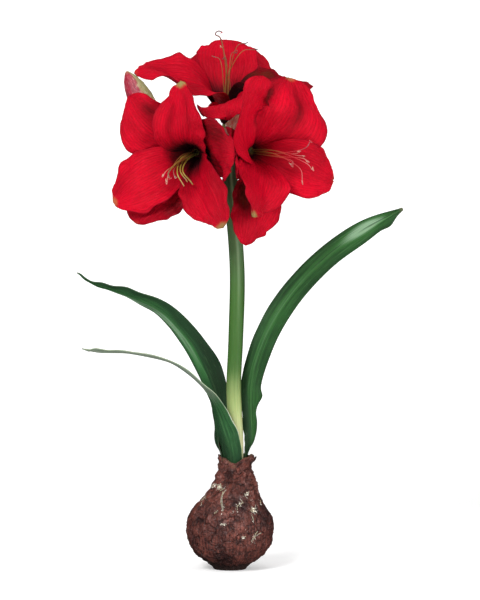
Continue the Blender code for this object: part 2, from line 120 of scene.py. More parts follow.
def gridQuads(rows, columns, wrap=False):            # quads over a grid, closed round if it wraps
    corner = np.arange(rows * columns).reshape(rows, columns)
    beside = np.roll(corner, -1, axis=1)
    quads = np.stack([corner[:-1], beside[:-1], beside[1:], corner[1:]], -1)
    return (quads if wrap else quads[:, :-1]).reshape(-1, 4)


def faceNormals(grid):                               # step along a row crossed with step to the next row
    return unit(np.cross(np.gradient(grid, axis=1), np.gradient(grid, axis=0)))


def sheetShell(middle, thickness, across, length, tone):   # a face each side of the grid, joined at the rim
    rows, columns = middle.shape[:2]
    offset = faceNormals(middle) * np.broadcast_to(thickness, (rows, columns))[..., None] / 2
    front = gridQuads(rows, columns)
    index = np.arange(rows * columns).reshape(rows, columns)
    rim = np.concatenate([index[0, :-1], index[:-1, -1], index[-1, :0:-1], index[:0:-1, 0]])
    following = np.roll(rim, -1)
    back = rows * columns
    walls = np.stack([following, rim, rim + back, following + back], -1)
    points = np.concatenate([(middle + offset).reshape(-1, 3), (middle - offset).reshape(-1, 3)])
    places = []
    for side in (1, -1):                             # 1 on the outer face of a tepal, -1 on its inner face
        places.append(together(across, length, np.full((rows, columns), side)).reshape(-1, 3))
    return {"points": points, "quads": np.concatenate([front, front[:, ::-1] + back, walls]),
            "caps": np.zeros((0, 3), int), "place": np.concatenate(places),
            "tone": np.broadcast_to(tone, (2, rows, columns, 3)).reshape(-1, 3)}


def tubeShell(rings, place, tone):                   # rings round a line, closed by a fan at each end
    rows, sides = rings.shape[:2]
    count = rows * sides
    ring = np.arange(sides)
    beside = np.roll(ring, -1)
    top = (rows - 1) * sides
    caps = [np.stack([np.full(sides, count), beside, ring], -1),
            np.stack([np.full(sides, count + 1), ring + top, beside + top], -1)]

    def withEnds(field):
        field = np.broadcast_to(field, (rows, sides, 3))
        return np.concatenate([field.reshape(-1, 3), [field[0].mean(0), field[-1].mean(0)]])

    return {"points": withEnds(rings), "quads": gridQuads(rows, sides, wrap=True),
            "caps": np.concatenate(caps), "place": withEnds(place), "tone": withEnds(tone)}


def ringsAlong(path, radii, sides, up=(0, 1, 0)):    # circles square to the path, of the given radii
    ahead = unit(np.gradient(path, axis=0))
    right = unit(np.cross(np.asarray(up, float), ahead))
    other = np.cross(ahead, right)
    turn = np.linspace(0, fullTurn, sides, endpoint=False)
    around = np.cos(turn)[:, None] * right[:, None] + np.sin(turn)[:, None] * other[:, None]
    radii = np.asarray(radii, float)
    radii = radii[:, None] if radii.ndim == 1 else radii
    return path[:, None] + around * radii[..., None], turn


def scaledRings(rings, path, factor):                # each point's way from its line times the factor
    centre = path[:, None]
    return centre + (rings - centre) * factor[..., None]


def makePiece(name, shells, material, slotName, *nodes):   # joins closed shells in one mesh for the frame
    starts = np.cumsum([0] + [len(shell["points"]) for shell in shells])
    joined = [np.concatenate([shell[key] for shell in shells]) for key in ("points", "place", "tone")]
    points, place, tone = joined
    quads = np.concatenate([shell["quads"] + start for shell, start in zip(shells, starts)])
    caps = np.concatenate([shell["caps"] + start for shell, start in zip(shells, starts)])
    mesh = bpy.data.meshes.new(name)
    mesh.vertices.add(len(points))
    mesh.vertices.foreach_set("co", (points * mm).ravel())
    mesh.loops.add(quads.size + caps.size)
    mesh.loops.foreach_set("vertex_index", np.concatenate([quads.ravel(), caps.ravel()]).astype(np.int32))
    mesh.polygons.add(len(quads) + len(caps))
    begins = np.concatenate([np.arange(len(quads)) * 4, quads.size + np.arange(len(caps)) * 3])
    mesh.polygons.foreach_set("loop_start", begins.astype(np.int32))
    for key, field in (("place", place), ("tone", tone)):
        layer = mesh.attributes.new(key, "FLOAT_VECTOR", "POINT")
        layer.data.foreach_set("vector", field.astype(np.float32).ravel())
    mesh.update(calc_edges=True)
    mesh.validate()
    mesh.shade_smooth()
    mesh.materials.append(material)
    piece = bpy.data.objects.new(name, mesh)
    bpy.context.scene.collection.objects.link(piece)
    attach(piece, "root")
    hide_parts(*nodes)
    print("made", name, 2 * len(quads) + len(caps), "triangles")


# shader maths

class Wire:                                          # a node's output, with plain arithmetic on it
    def __init__(self, paint, socket):
        self.paint, self.socket = paint, socket

    def __add__(self, other):
        return self.paint.sum("ADD", self, other)

    def __radd__(self, other):
        return self.paint.sum("ADD", other, self)

    def __sub__(self, other):
        return self.paint.sum("SUBTRACT", self, other)

    def __rsub__(self, other):
        return self.paint.sum("SUBTRACT", other, self)

    def __mul__(self, other):
        return self.paint.sum("MULTIPLY", self, other)

    def __rmul__(self, other):
        return self.paint.sum("MULTIPLY", other, self)

    def __pow__(self, other):
        return self.paint.sum("POWER", self, other)

    def __abs__(self):
        return self.paint.sum("ABSOLUTE", self)

    def sine(self):
        return self.paint.sum("SINE", self)

    def step(self, low, high):                       # eases from 0 at low to 1 at high
        settings = {"interpolation_type": "SMOOTHSTEP"}
        inputs = {"Value": self, "From Min": low, "From Max": high}
        return self.paint.node("ShaderNodeMapRange", settings, inputs)

    def lines(self, count, thin):                    # thin bright lines, count of them for each 2 units
        return (1 - abs((self * (count * math.pi / 2)).sine())) ** thin


class Paint:                                         # one material and the nodes that feed its shader
    def __init__(self, name, **fixed):
        self.material = bpy.data.materials.new(name)
        self.material.use_nodes = True
        self.tree = self.material.node_tree
        self.shader = self.tree.nodes["Principled BSDF"]
        for key, value in fixed.items():
            self.shader.inputs[key.replace("_", " ")].default_value = value

    def node(self, kind, settings, inputs, out=0):   # one node: settings first, then its sockets
        made = self.tree.nodes.new(kind)
        for key, value in settings.items():
            setattr(made, key, value)
        for key, value in inputs.items():
            names = [socket.identifier for socket in made.inputs]
            self.feed(made.inputs[key if isinstance(key, int) else names.index(key)], value)
        return Wire(self, made.outputs[out])

    def feed(self, socket, value):
        if isinstance(value, Wire):
            self.tree.links.new(value.socket, socket)
        elif isinstance(value, tuple) and len(value) < len(socket.default_value):
            socket.default_value = (*value, 1)
        else:
            socket.default_value = value

    def sum(self, operation, *values):
        return self.node("ShaderNodeMath", {"operation": operation}, dict(enumerate(values)))

    def field(self, name):                           # the three numbers of one of the mesh's own attributes
        vector = self.node("ShaderNodeAttribute", {"attribute_name": name}, {}, out="Vector")
        split = self.node("ShaderNodeSeparateXYZ", {}, {"Vector": vector}).socket.node
        return [Wire(self, socket) for socket in split.outputs]

    def spot(self, stretch=(1, 1, 1)):               # the place on the piece, in metres, stretched
        where = self.node("ShaderNodeTexCoord", {}, {}, out="Object")
        return self.node("ShaderNodeVectorMath", {"operation": "MULTIPLY"}, {0: where, 1: stretch})

    def join(self, x, y, z):
        return self.node("ShaderNodeCombineXYZ", {}, {"X": x, "Y": y, "Z": z})

    def noise(self, where, scale, detail=2.0, rough=0.5):
        inputs = {"Vector": where, "Scale": scale, "Detail": detail, "Roughness": rough}
        return self.node("ShaderNodeTexNoise", {}, inputs)

    def mix(self, share, first, second):
        inputs = {"Factor_Float": share, "A_Color": first, "B_Color": second}
        return self.node("ShaderNodeMix", {"data_type": "RGBA"}, inputs, out=2)

    def coated(self, colour, coats):                 # each coat's tone laid over the rest by its mask
        for mask, tone in coats:
            colour = self.mix(mask, colour, tone)
        return colour

    def finish(self, colour, roughness, height, depth, coat=None):   # depth is the bump's full height in mm
        self.feed(self.shader.inputs["Base Color"], colour)
        self.feed(self.shader.inputs["Roughness"], roughness)
        inputs = {"Strength": 1.0, "Distance": depth * mm, "Height": height}
        self.feed(self.shader.inputs["Normal"], self.node("ShaderNodeBump", {}, inputs))
        if coat is not None:
            self.feed(self.shader.inputs["Coat Weight"], coat)
        return self.material


# open blooms: six tepals round a short throat tube

# the deep red, brown and throat tones are colours of painted shade
petalPaint = {
    "scarlet": (0.54, 0.0008, 0.015), "crimson": (0.28, 0.0006, 0.008), "shadeRed": (0.13, 0.0012, 0.004),
    "shadeBrown": (0.10, 0.010, 0.005), "throat": (0.022, 0.003, 0.005), "vein": (0.085, 0.001, 0.004),
    "rim": (0.14, 0.001, 0.008), "edge": (0.66, 0.008, 0.036), "tip": (0.30, 0.22, 0.075),
    "back": (0.27, 0.0015, 0.010), "roughness": 0.50, "bump": 0.40,
}


def makePetalMaterial():
    tones = petalPaint
    paint = Paint("petalRed", Subsurface_Weight=0.06, Subsurface_Scale=0.002, Specular_IOR_Level=0.06)
    across, length, side = paint.field("place")
    # the second tone value is each tepal's tint with painted shade and light laid on it; the third is how far
    # the painted shade of the throat reaches
    tip, tintAndShading, shade = paint.field("tone")
    where = paint.spot()
    cloud = paint.noise(where, 34, 3.0)
    streak = paint.noise(paint.join(across * 26, length * 3.2, tintAndShading * 9), 1.0, 3.0)
    cells = paint.noise(where, 1700, 1.0)
    mottle = paint.noise(paint.join(across * 30, length * 20, tintAndShading * 9), 1.0, 3.0, 0.65)
    wander = across + (cloud - 0.5) * 0.10
    veins = wander.lines(22, 7) * 0.7 + wander.lines(58, 4) * 0.45
    blade = length.step(0.04, 0.24)
    # crimson to scarlet by random clouds and streaks and by the tint, so painted shade turns it crimson
    bright = (cloud * 0.8 + streak * 0.7 - 0.50 + (tintAndShading - 0.5) * 0.9).step(0.0, 0.8)
    # painted shade deep in the throat's hollow
    throat = (length + (streak - 0.5) * 0.16 + (1 - shade) * 0.28 - 0.22).step(0.24, 0.0)
    tipMask = (length - abs(across) * 0.03 + (cloud - 0.5) * 0.03 + (tip - 1) * 0.03).step(0.925, 0.965)
    colour = paint.mix(bright, tones["crimson"], tones["scarlet"])
    colour = paint.coated(colour, (
        # painted shade: deep red and brown where the tint is pushed low
        ((tintAndShading + (streak - 0.5) * 0.25).step(0.34, 0.0), tones["shadeRed"]),
        ((tintAndShading + (streak - 0.5) * 0.3).step(0.02, -0.5), tones["shadeBrown"]),
        (side.step(-0.2, 0.2) * 0.60, tones["back"]),
        (veins * 0.75 * blade, tones["vein"]),
        (mottle.step(0.53, 0.68) * 0.60 * blade, tones["crimson"]),
        (mottle.step(0.45, 0.30) * 0.28 * blade * tintAndShading, tones["edge"]),
        (abs(across).step(0.90, 1.0) * 0.45 * length.step(0.3, 0.5), tones["rim"]),
        (throat, tones["throat"]),
        (tipMask * tip, tones["tip"]),
    ))
    roughness = tones["roughness"] + (cloud - 0.5) * 0.18 + cells * 0.06
    height = (1 - veins * 0.75) * blade * 0.75 + cells * 0.35 + streak * 0.6
    return paint.finish(colour, roughness, height, tones["bump"])


tepalForm = {
    "clawHalf": 4.5, "widestAt": 0.56, "innerRoot": 5.5, "outerRoot": 6.7, "rootRise": 2.0, "edgeWave": 3.0,
    "ruffle": 1.5, "crinkle": 0.30, "notch": 0.014, "veinHeight": 0.13, "midribDepth": 0.9,
    "thick": (1.3, 0.75, 0.35), "rows": 78, "columns": 80, "fine": 12, "margin": 5.0,
}

# Each tepal: its turn round the flower, its length and width, how far its midrib opens from the axis at
# five places, how it sways and twists at three, and half the angle of its hollow at five. Then its tip's
# paleness, its tint, which on some tepals is painted shade, and how far the painted shade of the throat
# reaches. Last, the painted shade and light on it and what is pressed into it (share of the length, place
# across, the sizes of both, and the change) and how its margins are drawn out (share of the length, side,
# size along, and mm).
bloomForms = {
    "Left": {
        "base": (-31, -25, 416), "facing": (-0.43, -0.86, -0.28),
        "inner": (
            {"turn": 88, "size": (111, 57), "opens": (12, 20, 52, 85, 108), "sways": (0, -16, 0),
             "twists": (0, 5, -37), "cups": (75, 56, 37, 4, 15), "look": (1.0, 0.80, 1.0),
             "shadeAndLight": ((0.62, 0.9, 0.2, 0.25, -0.30), (0.62, 0.40, 0.18, 0.14, -0.55),
                         (0.45, -0.7, 0.2, 0.25, -0.3),
                         (0.75, -0.3, 0.15, 0.12, -0.35), (0.3, -0.9, 0.08, 0.3, 0.3)),
             "pressed": ((0.55, -0.35, 0.2, 0.22, -2.2), (0.27, -1, 0.07, 0.35, 9),
                         (0.58, 1, 0.25, 0.4, -4.5), (0.62, 0.40, 0.2, 0.14, -2.0)),
             "drawn": ((0.27, -1, 0.06, 9), (0.52, -1, 0.07, -3))},
            {"turn": 208, "size": (101, 59), "opens": (15, 30, 52, 70, 76), "sways": (1, -3, 3),
             "twists": (-1, 12, 36), "cups": (75, 42, 18, -2, 2), "look": (0.45, 0.80, 0.60),
             "shadeAndLight": ((0.35, 0.6, 0.2, 0.4, -0.35), (0.85, -0.6, 0.15, 0.4, -0.25),
                         (0.22, -0.2, 0.11, 0.9, -0.9)),
             "pressed": ((0.6, 0.35, 0.25, 0.12, -1.6), (0.55, -0.45, 0.2, 0.15, 1.4))},
            {"turn": 309, "size": (108, 59), "opens": (16, 27, 46, 71, 95), "sways": (1, 5, -16),
             "twists": (0, 5, 23), "cups": (75, 44, 27, -4, 8), "look": (0.8, 0.66, 0.80),
             "shadeAndLight": ((0.3, 0, 0.18, 0.8, -0.5), (0.75, 0.75, 0.2, 0.3, -0.3)),
             "pressed": ((0.6, -0.3, 0.25, 0.12, -1.5), (0.7, 0.4, 0.2, 0.18, 1.3))},
        ),
        "outer": (
            {"turn": 140, "size": (94, 63), "opens": (27, 42, 59, 87, 128), "sways": (1, -10, -22),
             "twists": (-1, 0, -11), "cups": (69, 44, 2, 5, -33), "look": (0.0, 0.84, 0.50),
             "shadeAndLight": ((0.72, -0.50, 0.18, 0.35, -0.75), (0.4, 0.2, 0.12, 0.5, -0.3)),
             "pressed": ((0.70, -0.5, 0.2, 0.2, -1.5), (0.6, 0.2, 0.25, 0.15, 1.5))},
            {"turn": 241, "size": (93, 61), "opens": (27, 38, 49, 55, 70), "sways": (0, -16, 8),
             "twists": (0, -6, 18), "cups": (69, 44, 3, 11, 5), "look": (0.1, 0.60, 0.60),
             "shadeAndLight": ((0.6, 0.8, 0.25, 0.4, -0.6),)},
            {"turn": 12, "size": (106, 65), "opens": (29, 37, 42, 49, 71), "sways": (1, 3, -23),
             "twists": (0, 9, -8), "cups": (69, 44, 9, 9, -2), "look": (0.0, 0.34, 1.15),
             "shadeAndLight": ((0.75, 0.6, 0.2, 0.4, -0.35), (0.95, 0, 0.08, 1, 0.3))},
        ),
    },
    "Right": {
        "base": (15, -25, 416), "facing": (0.66, -0.73, -0.12),
        "inner": (
            {"turn": 155, "size": (118, 60), "opens": (9, 55, 68, 32, 44), "sways": (31, -34, -60),
             "twists": (19, 4, -56), "cups": (82, 45, 11, 33, -8), "look": (0.0, 0.96, 0.20),
             "shadeAndLight": ((0.82, -0.95, 0.12, 0.22, -1.25), (0.45, -1, 0.2, 0.15, -0.7)),
             "drawn": ((0.80, -1, 0.08, -2.0), (0.94, -1, 0.05, 2.5)),
             "pressed": ((0.30, 0.6, 0.12, 0.5, 3.0), (0.7, -0.1, 0.2, 0.2, 1.5))},
            {"turn": 346, "size": (96, 54), "opens": (8, 23, 45, 71, 98), "sways": (-2, -6, 3),
             "twists": (0, 12, -9), "cups": (75, 45, 11, 1, -5), "look": (0.1, 0.68, 0.35),
             "shadeAndLight": ((0.45, 0.1, 0.2, 0.5, -0.35), (0.8, -0.7, 0.25, 0.4, 0.4)),
             "pressed": ((0.6, 0.3, 0.25, 0.14, -1.5), (0.6, -0.4, 0.25, 0.15, -1.3))},
            {"turn": 246, "size": (100, 62), "opens": (13, 30, 46, 62, 97), "sways": (0, -16, 4),
             "twists": (-1, 10, -33), "cups": (75, 43, 32, -23, 28), "look": (0.9, 0.78, 0.35),
             "shadeAndLight": ((0.4, 0.2, 0.12, 0.6, -0.25),), "pressed": ((0.6, 0.35, 0.2, 0.14, -1.4),)},
        ),
        "outer": (
            {"turn": 61, "size": (99, 85), "opens": (5, 37, 68, 116, 136), "sways": (0, 5, 27),
             "twists": (-4, -16, -7), "cups": (70, 12, 15, -27, 35), "look": (0.5, 0.80, 0.25),
             "shadeAndLight": ((0.70, 0.80, 0.16, 0.18, -1.2), (0.66, -0.20, 0.25, 0.18, -0.70),
                         (0.3, 0.3, 0.12, 0.3, 0.3)),
             "pressed": ((0.64, -0.20, 0.28, 0.17, -2.8), (0.6, 0.26, 0.28, 0.15, 2.4),
                         (0.68, 0.85, 0.2, 0.22, 3.0))},
            {"turn": 280, "size": (101, 62), "opens": (33, 54, 66, 72, 100), "sways": (1, -36, -18),
             "twists": (0, -10, -13), "cups": (67, 39, 14, -11, -17), "look": (0.0, 0.70, 0.75),
             "shadeAndLight": ((0.55, -0.5, 0.16, 0.35, -1.5),)},
            {"turn": 191, "size": (95, 51), "opens": (36, 50, 52, 41, 32), "sways": (-2, -9, 37),
             "twists": (-2, 17, -1), "cups": (68, 43, 9, 0, 1), "look": (0.0, 0.65, 0.40)},
        ),
    },
    "Top": {
        "base": (-4, 10, 446), "facing": (0, -0.25, 0.97),
        "inner": (
            {"turn": 89, "size": (107, 59), "opens": (11, 19, 36, 61, 86), "sways": (1, -1, 4),
             "twists": (0, 2, 4), "cups": (75, 47, 17, -6, -20), "look": (0.0, 0.68, 0.95),
             "shadeAndLight": ((0.5, 0, 0.15, 0.7, -0.25),), "drawn": ((0.72, 1, 0.15, 4),),
             "pressed": ((0.7, 0.4, 0.2, 0.1, -1.4), (0.75, -0.3, 0.2, 0.12, -1.2))},
            {"turn": 239, "size": (120, 69), "opens": (7, 34, 68, 63, 126), "sways": (-1, -35, -48),
             "twists": (4, -46, 7), "cups": (75, 40, 23, 17, -19), "look": (0.1, 0.75, 0.45),
             "shadeAndLight": ((0.5, 0.3, 0.15, 0.5, -0.3),)},
            {"turn": 342, "size": (112, 52), "opens": (6, 23, 77, 102, 112), "sways": (-10, 15, 21),
             "twists": (-5, 7, -7), "cups": (75, 53, 11, -17, 1), "look": (0.0, 0.22, 1.25),
             "shadeAndLight": ((0.36, 0.95, 0.09, 0.6, -1.3), (0.59, 0.3, 0.05, 0.45, -1.2),
                         (0.45, 0.4, 0.10, 0.5, -0.5))},
        ),
        "outer": (
            {"turn": 137, "size": (110, 62), "opens": (25, 34, 54, 92, 134), "sways": (-2, -9, 0),
             "twists": (1, -14, -8), "cups": (69, 44, 12, 27, -12), "look": (0.2, 0.45, 0.60)},
            {"turn": 279, "size": (105, 49), "opens": (27, 62, 80, 98, 114), "sways": (6, -21, 9),
             "twists": (0, 20, -5), "cups": (69, 80, -2, 9, -30), "look": (0.0, 0.74, 0.45)},
            {"turn": 42, "size": (112, 62), "opens": (18, 28, 51, 96, 143), "sways": (4, 25, -21),
             "twists": (-1, 23, 43), "cups": (70, 43, 24, 10, -2), "look": (0.0, 0.60, 0.70)},
        ),
    },
}


def flowerFrame(facing):
    axis = unit(facing)
    right = unit(np.cross([0, 0, 1], axis))
    return axis, right, np.cross(axis, right)


def arcPoints(line, across, normal, half, bend, columns):   # each row is an arc bent towards the normal
    bend = np.where(np.abs(bend) < 0.001, 0.001, bend)[:, None]
    radius = half[:, None] / bend
    angle = bend * np.linspace(-1, 1, columns)
    sideways = (radius * np.sin(angle))[..., None]
    up = (radius * (1 - np.cos(angle)))[..., None]
    return line[:, None] + across[:, None] * sideways + normal[:, None] * up


def tepalHalf(share, width):                         # widens from the claw, then closes to a pointed tip
    form = tepalForm
    grown = form["clawHalf"] + (width / 2 - form["clawHalf"]) * eased(share / form["widestAt"]) ** 0.85
    past = np.clip((share - form["widestAt"]) / (1 - form["widestAt"]), 0, 1)
    return grown * (1 - past**2.4) ** (1 / 1.7) + 0.6


def keepInside(points):                              # near the solids' box, d mm free becomes m e^(d/m - 1)
    margin = tepalForm["margin"]
    low, high = cadBox[0][1] / mm, cadBox[1][2] / mm
    kept = points.copy()
    for axis, side, limit in ((1, -1, low), (2, 1, high)):
        free = side * (limit - points[..., axis])
        near = margin * np.exp(np.minimum(free, margin) / margin - 1)
        kept[..., axis] = limit - side * np.where(free < margin, near, free)
    return kept


def tepalShell(bloom, tepal, root, seed):
    form = tepalForm
    axis, right, up = flowerFrame(bloom["facing"])
    turn = math.radians(tepal["turn"])
    outward = math.cos(turn) * right + math.sin(turn) * up
    sideways = math.cos(turn) * up - math.sin(turn) * right
    rows, columns, fine = form["rows"], form["columns"], form["fine"]
    steps = fine * (rows - 1)
    share = np.linspace(0, 1, steps + 1)
    angles = [np.radians(smoothAlong(share, tepal[key])) for key in ("opens", "sways", "twists")]
    opened, sway, twist = (angle[:, None] for angle in angles)
    leading = np.cos(opened) * axis + np.sin(opened) * outward
    inward = np.sin(opened) * axis - np.cos(opened) * outward
    ahead = np.cos(sway) * leading + np.sin(sway) * sideways
    level = np.cos(sway) * sideways - np.sin(sway) * leading
    across = np.cos(twist) * level + np.sin(twist) * inward
    normal = np.cos(twist) * inward - np.sin(twist) * level
    length, width = tepal["size"]
    start = np.asarray(bloom["base"]) + outward * root + axis * form["rootRise"]
    stride = (ahead[1:] + ahead[:-1]) / 2 * length / steps
    line = (start + np.concatenate([np.zeros((1, 3)), np.cumsum(stride, axis=0)]))[::fine]
    share, across, normal = share[::fine], across[::fine], normal[::fine]
    half = tepalHalf(share, width)
    place = np.linspace(-1, 1, columns)
    points = arcPoints(line, across, normal, half, np.radians(smoothAlong(share, tepal["cups"])), columns)
    grown = np.clip((share - 0.25) / 0.3, 0, 1)[:, None]
    edge = np.abs(place)
    flat = together(share[:, None] * length, place * half[:, None])   # the blade laid out flat
    wave = form["edgeWave"] * grown * ((half / half.max()) ** 1.5)[:, None]
    wave = wave * edge**2.2 * np.sin(2 * fullTurn * share[:, None] + 1.1 * np.sign(place))
    ruffle = form["ruffle"] * grown * edge**3.5 * ripple(flat, 19, seed)
    crinkle = form["crinkle"] * grown * (0.25 + edge**2) * ripple(flat * (0.7, 1.6), 7.5, seed + 1)
    swell = 0.9 * grown * (1 - edge**2) * ripple(flat, 34, seed + 2)
    veins = form["veinHeight"] * np.cos(place * fullTurn * 5.5) * eased(share / 0.15)[:, None] * (1 - edge**6)
    midrib = -form["midribDepth"] * hump(place, 0, 0.07) * eased((1 - share) / 0.5)[:, None]
    pressed = spots(share[:, None], place, tepal.get("pressed", ()))
    lift = wave + ruffle + crinkle + swell + veins + midrib + pressed
    points = points + normal[:, None] * lift[..., None]
    notch = form["notch"] * width * grown * edge**4 * ripple(flat[:, :, :1], 26, seed + 3) * np.sign(place)
    notch = notch + rims(share[:, None], place, tepal.get("drawn", ()))
    points = keepInside(points + across[:, None] * notch[..., None])
    claw, blade, rim = form["thick"]
    thick = blade + (claw - blade) * (1 - eased(share / 0.25))[:, None] + (rim - blade) * edge**4
    tipTone, tintAndShading, shade = tepal["look"]
    # painted shade and light lower or raise the tint in spots
    tintAndShading = tintAndShading + spots(share[:, None], place, tepal.get("shadeAndLight", ()))
    return sheetShell(points, thick, place, share[:, None], together(tipTone, tintAndShading, shade))


throatForm = {"length": 6.0, "radii": (5.4, 8.4), "sides": 48, "rows": 12}


def throatShell(bloom):                              # the short tube that the six claws grow from
    form = throatForm
    axis = flowerFrame(bloom["facing"])[0]
    share = np.linspace(0, 1, form["rows"])
    path = np.asarray(bloom["base"], float) + share[:, None] * axis * form["length"]
    radii = form["radii"][0] + (form["radii"][1] - form["radii"][0]) * share**0.8
    radii = radii * (0.55 + 0.45 * eased(share / 0.12))
    rings, turn = ringsAlong(path, radii, form["sides"], (0.1, 0.2, 1))
    rings = scaledRings(rings, path, 1 + 0.05 * np.cos(3 * turn))
    # its tones put the throat tube under the painted shade of the throat
    return tubeShell(rings, together(0.5, 0.02, -np.ones(rings.shape[:2])), (0, 0.4, 0.2))


def makeBlooms():
    material = makePetalMaterial()
    seed = 11
    for name, bloom in bloomForms.items():
        shells = [throatShell(bloom)]
        for ring in ("inner", "outer"):
            for tepal in bloom[ring]:
                seed += 10
                shells.append(tepalShell(bloom, tepal, tepalForm[ring + "Root"], seed))
        makePiece("bloom" + name, shells, material, "petal_red", "bloom_" + name.lower())


makeBlooms()
print("blooms done")


# stamens: six filaments with anthers, and a longer style with its three-lobed stigma

stamenForms = {
    "Left": {
        "tips": ((-65, -80, 387), (-54, -78, 387), (-61, -82, 380), (-46, -80, 380), (-42, -77, 383),
                 (-38, -74, 382)),
        "style": (-58, -92, 384), "styleStout": 1.25, "tones": (0.7, 0.5, 0.7, 0.6, 0.3, 0.3), "green": 1.0,
        "reach": 1.0, "stout": 1.5, "curl": 0, "fine": (0, 1, 2)},
    "Right": {
        "tips": ((67, -80, 411), (70, -80, 407), (79, -80, 393), (69, -80, 382), (60, -78, 397),
                 (74, -80, 402)),
        "style": (77, -84, 421), "styleStout": 1.25, "tones": (0.7, 0.6, 0.7, 0.6, 0.4, 0.7), "green": 0.5,
        "reach": 0.35, "stout": 0.85, "curl": 0, "fine": (0,)},
    "Top": {
        "tips": ((-10, -10, 521), (16, -8, 525), (26, -8, 518), (-18, -8, 511), (-5, -12, 509),
                 (4, -10, 516)),
        "style": (-15.5, -14, 532), "styleStout": 2.1, "tones": (0.9, 0.0, 0.0, 0.2, 0.1, 0.1), "green": 0.4,
        "reach": 1.0, "stout": 0.8, "curl": 3.6, "fine": ()},
}
stamenForm = {"throat": 5.8, "ring": 3.2, "ringLength": 2.0, "ringRows": 6, "ringSides": 32, "spread": 1.9,
              "radius": 0.48, "sides": 10, "rows": 60, "pathRows": 40, "antherLength": 3.2,
              "antherRadius": 0.45, "curl": 2.6, "hook": 1.3}


def stamenMaterial():
    paint = Paint("filamentRed", Subsurface_Weight=0.1, Subsurface_Scale=0.001, Specular_IOR_Level=0.4)
    _, length, anther = paint.field("place")
    pale, green, reach = paint.field("tone")
    cloud = paint.noise(paint.spot(), 260, 2.0)
    grain = paint.noise(paint.spot(), 2600, 1.0)
    base = paint.mix(green, (0.24, 0.030, 0.022), (0.30, 0.25, 0.035))
    base = paint.mix(length.step(0.45, 0.0) * 0.85, base, (0.050, 0.055, 0.010))
    ends = paint.mix(pale, (0.05, 0.045, 0.055), (0.80, 0.36, 0.30))
    pollen = paint.mix(pale + (grain - 0.5) * 0.3, (0.075, 0.045, 0.05), (0.72, 0.44, 0.32))
    colour = paint.mix((length - reach).step(-0.15, 0.35), base, (0.46, 0.022, 0.035))
    colour = paint.coated(colour, (
        (length.step(0.72, 0.95) * (1 - green * 0.7), ends),
        ((cloud - 0.3) * 0.5, (0.16, 0.02, 0.015)),
        (anther, pollen),
    ))
    return paint.finish(colour, 0.42 + anther * 0.35, grain * (0.2 + anther) + cloud * 0.3, 0.12)


def hooked(path, ahead, level, radius, turned=3.7):  # the path with a curl of the given radius at its end
    angle = np.linspace(0.2, turned, 15)[:, None]
    return np.concatenate([path, path[-1] + radius * (np.sin(angle) * ahead + (1 - np.cos(angle)) * level)])


def filamentShell(path, radius, pale, green, reach):
    form = stamenForm
    share = np.linspace(0, 1, form["rows"])
    at = np.concatenate([[0], np.cumsum(np.linalg.norm(np.diff(path, axis=0), axis=1))])
    measure = 1 - (1 - share) ** 1.6                 # closer rows towards the curled end
    line = np.stack([np.interp(measure * at[-1], at, path[:, axisNumber]) for axisNumber in range(3)], -1)
    radii = radius * (1.25 - 0.5 * measure) * np.sqrt(np.clip((1 - share) * 18, 0.05, 1))
    way = unit(line[-1] - line[0])
    beside = (0.1, 1, 0.1) if abs(way[2]) > 0.7 else (0.3, 0.2, 1)
    rings, turn = ringsAlong(line, radii, form["sides"], beside)
    return tubeShell(rings, together(turn / fullTurn, measure[:, None], 0.0), (pale, green, reach))


def antherShell(tip, ahead, level, pale, seed):      # a crescent that balances across the filament's tip
    form = stamenForm
    draw = np.random.default_rng(seed)
    tilt = draw.uniform(-0.5, 0.5)
    across = unit(level * math.cos(tilt) + np.cross(ahead, level) * math.sin(tilt))
    share = np.linspace(-1, 1, 18)[:, None]
    line = tip + across * share * form["antherLength"] / 2 - ahead * share**2 * form["curl"] * 0.6
    radii = form["antherRadius"] * np.sqrt(np.clip(1.02 - share[:, 0] ** 2, 0.02, 1))
    rings, turn = ringsAlong(line, radii, 12, ahead + 0.1 * level)
    rings = scaledRings(rings, line, 1 - 0.28 * np.cos(turn * 2) ** 8)
    return tubeShell(rings, together(turn / fullTurn, share / 2 + 0.5, 1.0), (pale, 0, 0))


def filamentPath(base, axis, foot, tip, aside):      # up the axis for half its reach, then over to the tip
    reach = np.linalg.norm(tip - base)
    late = 0.55 * (base + axis * 0.85 * reach) + 0.45 * tip
    stops = (foot, base + axis * 0.5 * reach + aside, late, tip)
    return smoothAlong(np.linspace(0, 1, stamenForm["pathRows"]), stops)


